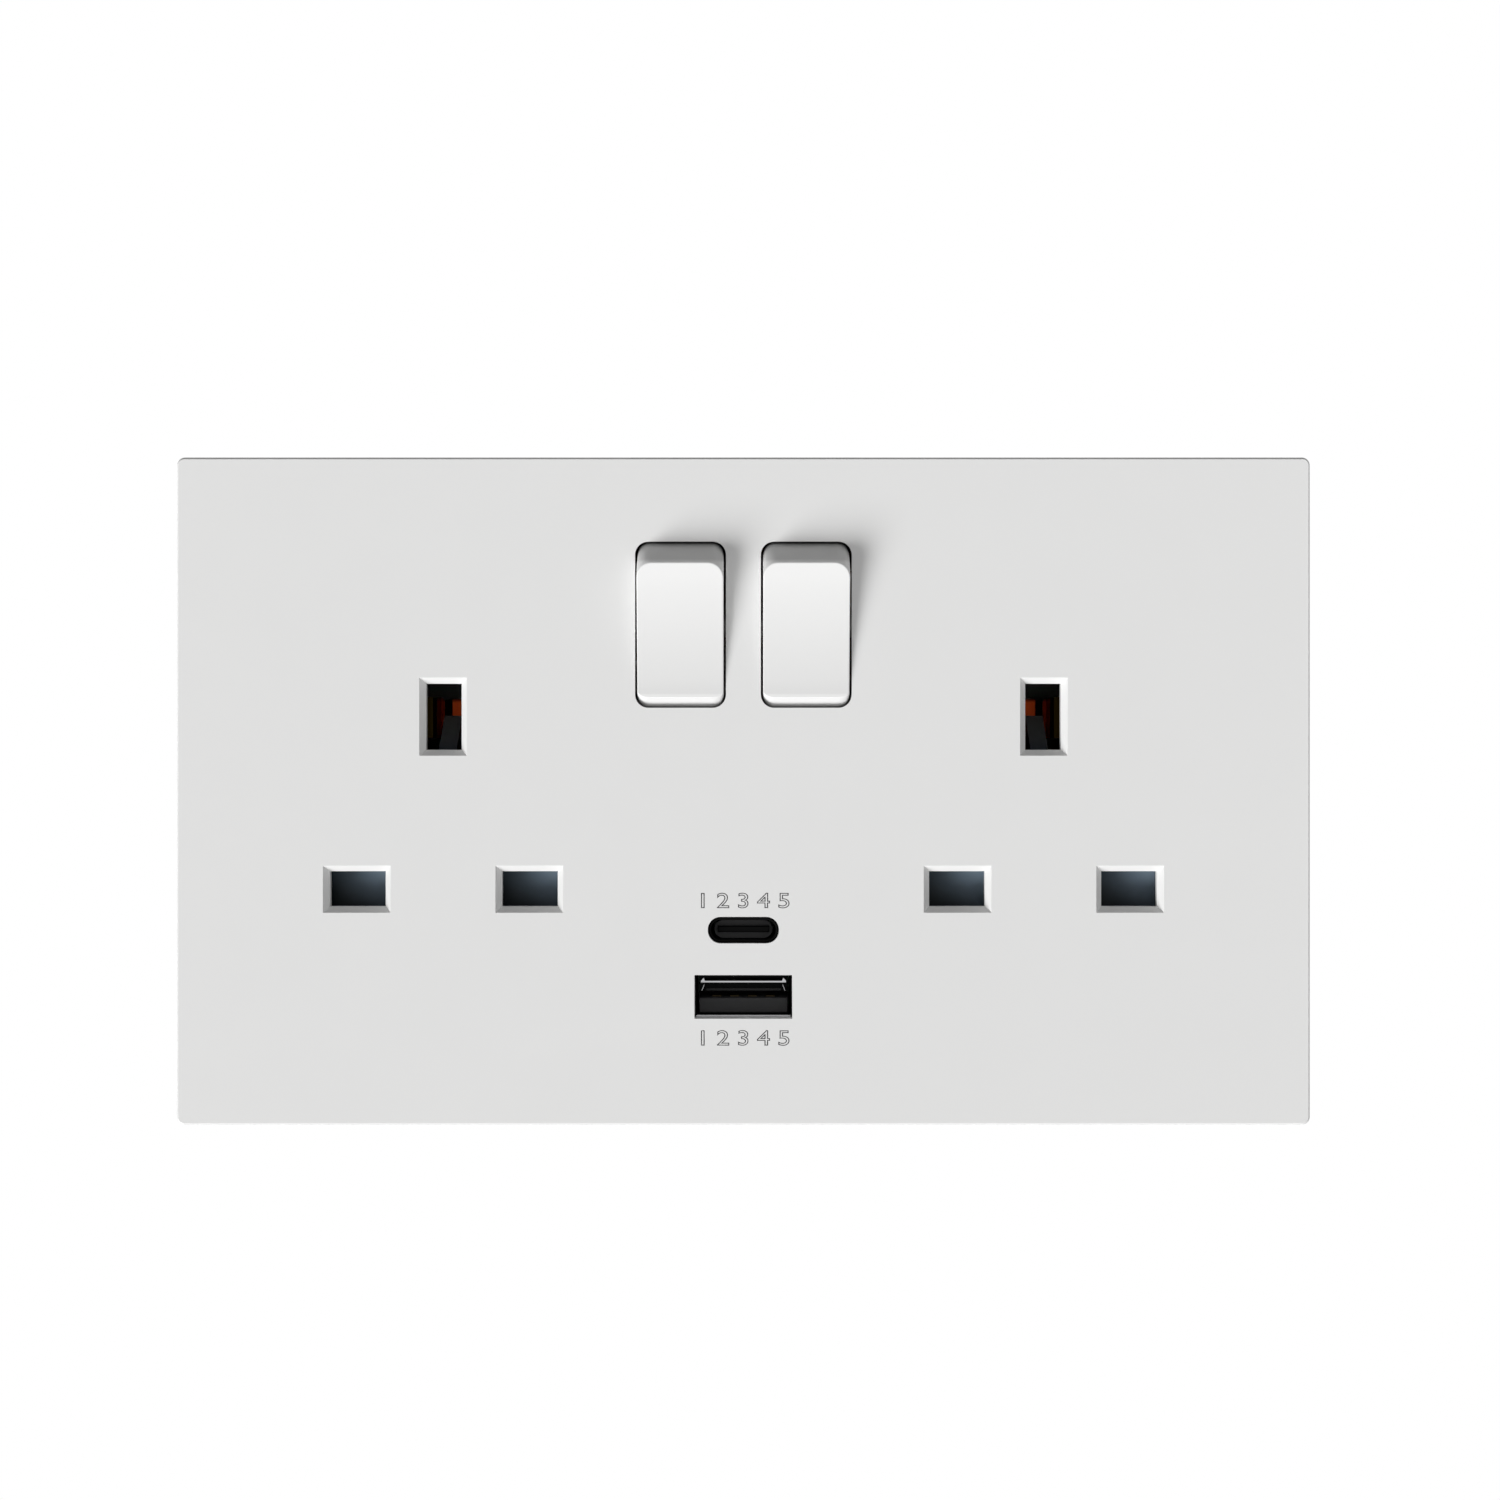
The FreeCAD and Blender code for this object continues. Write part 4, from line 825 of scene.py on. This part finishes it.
# %% A driver's slot
def sink_slot(mesh, top, across, long, wide, deep, cross):
    """Sinks a slot, or a cross, in the face that lies at y = top about the point across."""
    x, z = across
    upward, sideways = (0, 0, 1), (1, 0, 0)
    lines = [(wide, upward), (long, sideways)]
    if cross:
        lines += [(wide, sideways), (long, upward)]

    def on_top(face):
        return abs(face.calc_center_median().y - top) < TOUCH

    for reach, normal in lines:
        for offset in (-reach, reach):
            faces = [f for f in mesh.faces if on_top(f)]
            geometry = list({item for f in faces for item in (f, *f.verts, *f.edges)})
            spot = Vector((x, 0, z)) + offset * Vector(normal)
            bmesh.ops.bisect_plane(mesh, geom=geometry, plane_co=spot, plane_no=normal)

    def in_slot(face):
        point = face.calc_center_median()
        right, up = abs(point.x - x), abs(point.z - z)
        lies = right < long and up < wide
        stands = cross and up < long and right < wide
        return on_top(face) and (lies or stands)

    chosen = [f for f in mesh.faces if in_slot(f)]
    grown = bmesh.ops.extrude_face_region(mesh, geom=chosen)["geom"]
    floor = [item for item in grown if isinstance(item, bmesh.types.BMVert)]
    bmesh.ops.delete(mesh, geom=chosen, context="FACES_ONLY")
    bmesh.ops.translate(mesh, vec=(0, -deep, 0), verts=floor)


# %% Housing screws
SCREW_X, SCREW_Z = 50.5 * MM, 29.5 * MM
SHANK, HEAD = 1.45 * MM, 2.8 * MM
HEAD_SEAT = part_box("rear_housing")[1].y
low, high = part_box("housing_screws")
mesh = bmesh.new()
for spot in [(x, z) for x in (-SCREW_X, SCREW_X) for z in (-SCREW_Z, SCREW_Z)]:
    rod(mesh, SHANK, low.y, HEAD_SEAT, across=spot, segments=24)
    head = rod(mesh, HEAD, HEAD_SEAT, high.y, across=spot)
    rim = [e for e in edges_of(head) if all(v.co.y > high.y - NEAR for v in e.verts)]
    ease(mesh, rim, 0.6 * MM, 4)
    sink_slot(mesh, high.y, spot, long=1.5 * MM, wide=0.32 * MM, deep=1.0 * MM, cross=True)
piece("housing_screw_set", mesh, STEEL, "socket", "housing_screws")

# %% Clamping screws
for name in ("line_screw", "neutral_screw", "earth_screw_left", "earth_screw_right"):
    low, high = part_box(name)
    spot = ((low.x + high.x) / 2, (low.z + high.z) / 2)
    mesh = bmesh.new()
    shank = rod(mesh, 1.9 * MM, low.y, high.y, across=spot, segments=36)
    ease(mesh, [e for e in edges_of(shank) if depth_of(e) < NEAR], 0.25 * MM, 2)
    sink_slot(mesh, high.y, spot, long=1.55 * MM, wide=0.35 * MM, deep=1.1 * MM, cross=False)
    piece(f"clamping_{name}", mesh, STEEL, "socket", name)

# %% [markdown]
# ## The housing
# The box behind the plate is a plain moulding with square edges in the solid. Its outward edges are
# rounded on a merged copy, since a bevel on loose triangles would run along every diagonal.

# %% Housing
shell = merged("rear_housing")
ease(shell, [edge for edge in shell.edges if is_ridge(edge)], 0.2 * MM, 2)
piece("back_housing", shell, HOUSING, "socket", "rear_housing")

# %% [markdown]
# ## The small port
# The small port is a drawn oval sleeve. In its middle a thin tongue stands out of a floor. The
# sleeve could be one solid cut out of another. A block with rounded edges becomes a sleeve more
# cleanly when its two ends are inset, opened and bridged, which keeps its wall even.


# %% A sleeve
SHELL_WALL = 0.3 * MM


def sleeve(width, height, corner, front, back, middle, segments=10):
    """A tube with a rounded oblong section, open at both ends."""
    mesh = bmesh.new()
    half = Vector((width / 2, 0, height / 2))
    block(mesh, (-half.x, front, middle - half.z), (half.x, back, middle + half.z))
    ease(mesh, [e for e in mesh.edges if depth_of(e) > MM], corner, segments)
    caps = [f for f in mesh.faces if abs(f.normal.y) > 0.9]
    bmesh.ops.inset_individual(mesh, faces=caps, thickness=SHELL_WALL, use_even_offset=True)
    inner = sorted(caps, key=lambda f: f.calc_center_median().y)
    loops = [e for f in inner for e in f.edges]
    bmesh.ops.delete(mesh, geom=inner, context="FACES_ONLY")
    bmesh.ops.bridge_loops(mesh, edges=loops)
    lips = [e for e in mesh.edges if is_ridge(e) and lies_before(e, front + NEAR)]
    ease(mesh, lips, 0.35 * SHELL_WALL, 2)
    return mesh


# %% Small port
low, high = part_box("usb_c_shell")
SMALL_LEVEL = (low.z + high.z) / 2
BOARD_FRONT = high.y
size = high - low
mesh = sleeve(size.x, size.z, 1.5 * MM, low.y, high.y, SMALL_LEVEL)
piece("small_sleeve", mesh, PORT_BLACK, "socket", "usb_c_shell")

HALF_TONGUE = 0.4 * MM
low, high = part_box("usb_c_tongue")
mesh = bmesh.new()
block(mesh, (low.x, 0, low.z), (high.x, BOARD_FRONT, high.z))
bottom, top = SMALL_LEVEL - HALF_TONGUE, SMALL_LEVEL + HALF_TONGUE
tongue = block(mesh, (low.x, low.y, bottom), (high.x, 0, top))
nose = [e for e in edges_of(tongue) if lies_before(e, low.y + NEAR)]
ease(mesh, nose, 0.15 * MM)
piece("small_tongue", mesh, PORT_BLACK, "socket", "usb_c_tongue")

SEAT_HALF, SEAT_FRONT, SEAT_BACK = 3.75 * MM, low.y + 1.2 * MM, low.y + 1.6 * MM
mesh = bmesh.new()
bottom, top = SMALL_LEVEL - 1.2 * MM, SMALL_LEVEL + 1.1 * MM
seat = block(mesh, (-SEAT_HALF, SEAT_FRONT, bottom), (SEAT_HALF, SEAT_BACK, top))
ease(mesh, [e for e in edges_of(seat) if depth_of(e) > 0.3 * MM], 1.1 * MM, 8)
piece("small_floor", mesh, PORT_FLOOR, "socket")

# %% [markdown]
# ## The wide port
# The wide port is a folded box with a grey tongue. A bright strip runs along its roof, with a
# folded strut at each end, and a sill lies along its foot. They are thin sheet that could be given
# its thickness by a modifier. So few flat bits are quicker as slim blocks, or as a face of a few
# corners that is extruded.

# %% Wide port
low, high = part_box("usb_a_shell")
WIDE_LEVEL = (low.z + high.z) / 2
size = high - low
mesh = sleeve(size.x, size.z, 0.45 * MM, low.y, high.y, WIDE_LEVEL, 4)
piece("wide_sleeve", mesh, PORT_BLACK, "socket", "usb_a_shell")

LIP = low.y + 0.1 * MM
ROOF, ROOF_HALF, ROOF_THIN, ROOF_DEEP = WIDE_LEVEL + 1.74 * MM, 5.52 * MM, 0.1 * MM, 5 * MM
SILL, SILL_HALF, SILL_THIN = WIDE_LEVEL - 2.68 * MM, 6.1 * MM, 0.11 * MM
GUSSET = [(5.52, 0.1), (5.0, 0.1), (5.17, 0.5)]
STRUT = [(5.42, -1.15), (5.36, -1.15), (5.06, -0.4), (5.12, -0.4)]
mesh = bmesh.new()
block(mesh, (-ROOF_HALF, LIP, ROOF - ROOF_THIN), (ROOF_HALF, LIP + ROOF_DEEP, ROOF + ROOF_THIN))
sill_front = low.y - 0.05 * MM
block(mesh, (-SILL_HALF, sill_front, SILL - SILL_THIN), (SILL_HALF, LIP, SILL + SILL_THIN))
for side in (-1, 1):
    for corners in (GUSSET, STRUT):
        verts = [mesh.verts.new((side * x * MM, LIP, ROOF + z * MM)) for x, z in corners]
        grow(mesh, [mesh.faces.new(verts)], (0, 0.5 * MM, 0))
piece("wide_fingers", mesh, PORT_STEEL, "socket")

RIB_HALF, RIB_FOOT, RIB_TOP = 4.9 * MM, WIDE_LEVEL + 0.28 * MM, WIDE_LEVEL + 0.54 * MM
low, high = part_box("usb_a_tongue")
mesh = merged("usb_a_tongue")
nose = [e for e in mesh.edges if is_ridge(e) and lies_before(e, low.y + NEAR)]
ease(mesh, nose, 0.2 * MM)
rib_front, rib_back = low.y + 2.6 * MM, low.y + 3.0 * MM
block(mesh, (-RIB_HALF, rib_front, RIB_FOOT), (RIB_HALF, rib_back, RIB_TOP))
piece("wide_tongue", mesh, PORT_GREY, "socket", "usb_a_tongue")

# %% [markdown]
# ## Markings
# Fine outlined figures stand over the small port and under the wide one, as thin as a hair. They
# are plain numbers. They could be a pattern in the plate's colour, but text already has an outline
# of its own, which a tiny round bevel turns into a raised line.

# %% Markings
INK = moulded("marking ink", (0.05, 0.05, 0.052), 0.56, sheen=0.2)
FIGURES = "1 2 3 4 5"
FIGURE_SIZE, FIGURES_WIDTH, LINE, FLATTER = 2.7 * MM, 11.4 * MM, 0.055 * MM, 0.4


def marking(name, level):
    """Thin outlines of the figures on the plate's front."""
    curve = bpy.data.curves.new(name, "FONT")
    curve.body = FIGURES
    curve.size = FIGURE_SIZE
    curve.align_x = "CENTER"
    curve.align_y = "CENTER"
    curve.fill_mode = "NONE"
    curve.bevel_depth = LINE
    curve.bevel_resolution = 1
    text = bpy.data.objects.new(name + "_text", curve)
    bpy.context.collection.objects.link(text)
    bpy.context.view_layer.update()
    shown = text.evaluated_get(bpy.context.evaluated_depsgraph_get())
    flat = bpy.data.meshes.new_from_object(shown)
    bpy.data.objects.remove(text)
    mesh = bmesh.new()
    mesh.from_mesh(flat)
    span = max(v.co.x for v in mesh.verts) - min(v.co.x for v in mesh.verts)
    bmesh.ops.scale(mesh, vec=(FIGURES_WIDTH / span, 1, FLATTER), verts=mesh.verts)
    upright = Matrix.Translation((0, FRONT, level)) @ Matrix.Rotation(math.pi / 2, 4, "X")
    bmesh.ops.transform(mesh, matrix=upright, verts=mesh.verts)
    piece(name, mesh, INK, "socket")


marking("upper_figures", -14.2 * MM)
marking("lower_figures", -31.9 * MM)

# %% [markdown]
# ## Stage
# The sky and the floor are to look white to the camera. More light would do it, but would bleach
# the object. So they glow only for the camera and for mirror rays, and light the object softly: the
# sky is brighter towards the lower front, and the floor is pale.


# %% Sky and floor
def glow_for_camera(graph, surface, output, glow, share=1.0):
    """Shows white, or a share of it, to camera and mirror rays, and the surface to all others."""
    seen = graph.node("ShaderNodeLightPath", output="Is Camera Ray")
    for ray in ("Is Glossy Ray", "Is Transmission Ray"):
        seen = seen.reckon("MAXIMUM", seen, graph.node("ShaderNodeLightPath", output=ray))
    bright = graph.node(glow, None, {"Color": (1, 1, 1), "Strength": 1.0})
    mixed = graph.node("ShaderNodeMixShader", None, {0: seen * share, 1: surface, 2: bright})
    graph.join(graph.tree.nodes[output].inputs["Surface"], mixed)


SKY, SKY_FROM = 0.27, (0.05, -0.22, -0.29)
world = bpy.data.worlds.new("sky")
bpy.context.scene.world = world
sky = Graph(world)
toward = sky.node("ShaderNodeTexCoord", output="Generated")
dot = {"operation": "DOT_PRODUCT"}
fall = sky.node("ShaderNodeVectorMath", dot, {0: toward, 1: SKY_FROM}, "Value")
level = sky.node("ShaderNodeMath", {"operation": "ADD", "use_clamp": True}, {0: fall, 1: SKY})
soft = sky.tree.nodes["Background"]
sky.join(soft.inputs["Color"], (1, 1, 1))
sky.join(soft.inputs["Strength"], level)
soft_light = Wire(sky, soft.outputs[0])
glow_for_camera(sky, soft_light, "World Output", "ShaderNodeBackground")

FLOOR_HALF_WIDTH, FLOOR_LEVEL = 0.4, -0.5
pale = Finish("floor", Base_Color=(0.85, 0.85, 0.85), Roughness=0.8)
pale_surface = Wire(pale, pale.shader.outputs[0])
glow_for_camera(pale, pale_surface, "Material Output", "ShaderNodeEmission", 0.7)
mesh = bmesh.new()
bmesh.ops.create_grid(mesh, x_segments=1, y_segments=1, size=FLOOR_HALF_WIDTH)
bmesh.ops.translate(mesh, vec=(0, 0, FLOOR_LEVEL), verts=mesh.verts)
data = bpy.data.meshes.new("floor")
mesh.to_mesh(data)
mesh.free()
data.materials.append(pale.material)
floor = bpy.data.objects.new("floor", data)
floor.visible_shadow = False
bpy.context.collection.objects.link(floor)
print("stage", world.name, floor.name)

# %% [markdown]
# ## Light
# The light comes from the lower left, in front: surfaces that look down or left are the brightest,
# and those that look up are in half shade. Area lamps would fall off across the plate, so a broad
# sun gives that. A weak sun straight behind lights only the back.


# %% Light
def sun(name, toward_lamp, energy, angle):
    """A sun that shines from a direction, as wide in the sky as an angle in degrees."""
    light = bpy.data.lights.new(name, "SUN")
    light.energy = energy * math.pi
    light.angle = math.radians(angle)
    lamp = bpy.data.objects.new(name, light)
    lamp.rotation_euler = Vector(toward_lamp).to_track_quat("Z", "Y").to_euler()
    bpy.context.collection.objects.link(lamp)
    print("sun", name, "energy", round(light.energy, 3))


sun("key", (-0.59, -0.51, -0.62), energy=1.04, angle=32)
sun("back", (0, 1, 0), energy=0.45, angle=8)

# %% [markdown]
# ## Settings
# The plain view transform shows a colour about as it is written, where others would soften it.

# %% Settings
bpy.context.scene.view_settings.view_transform = "Standard"
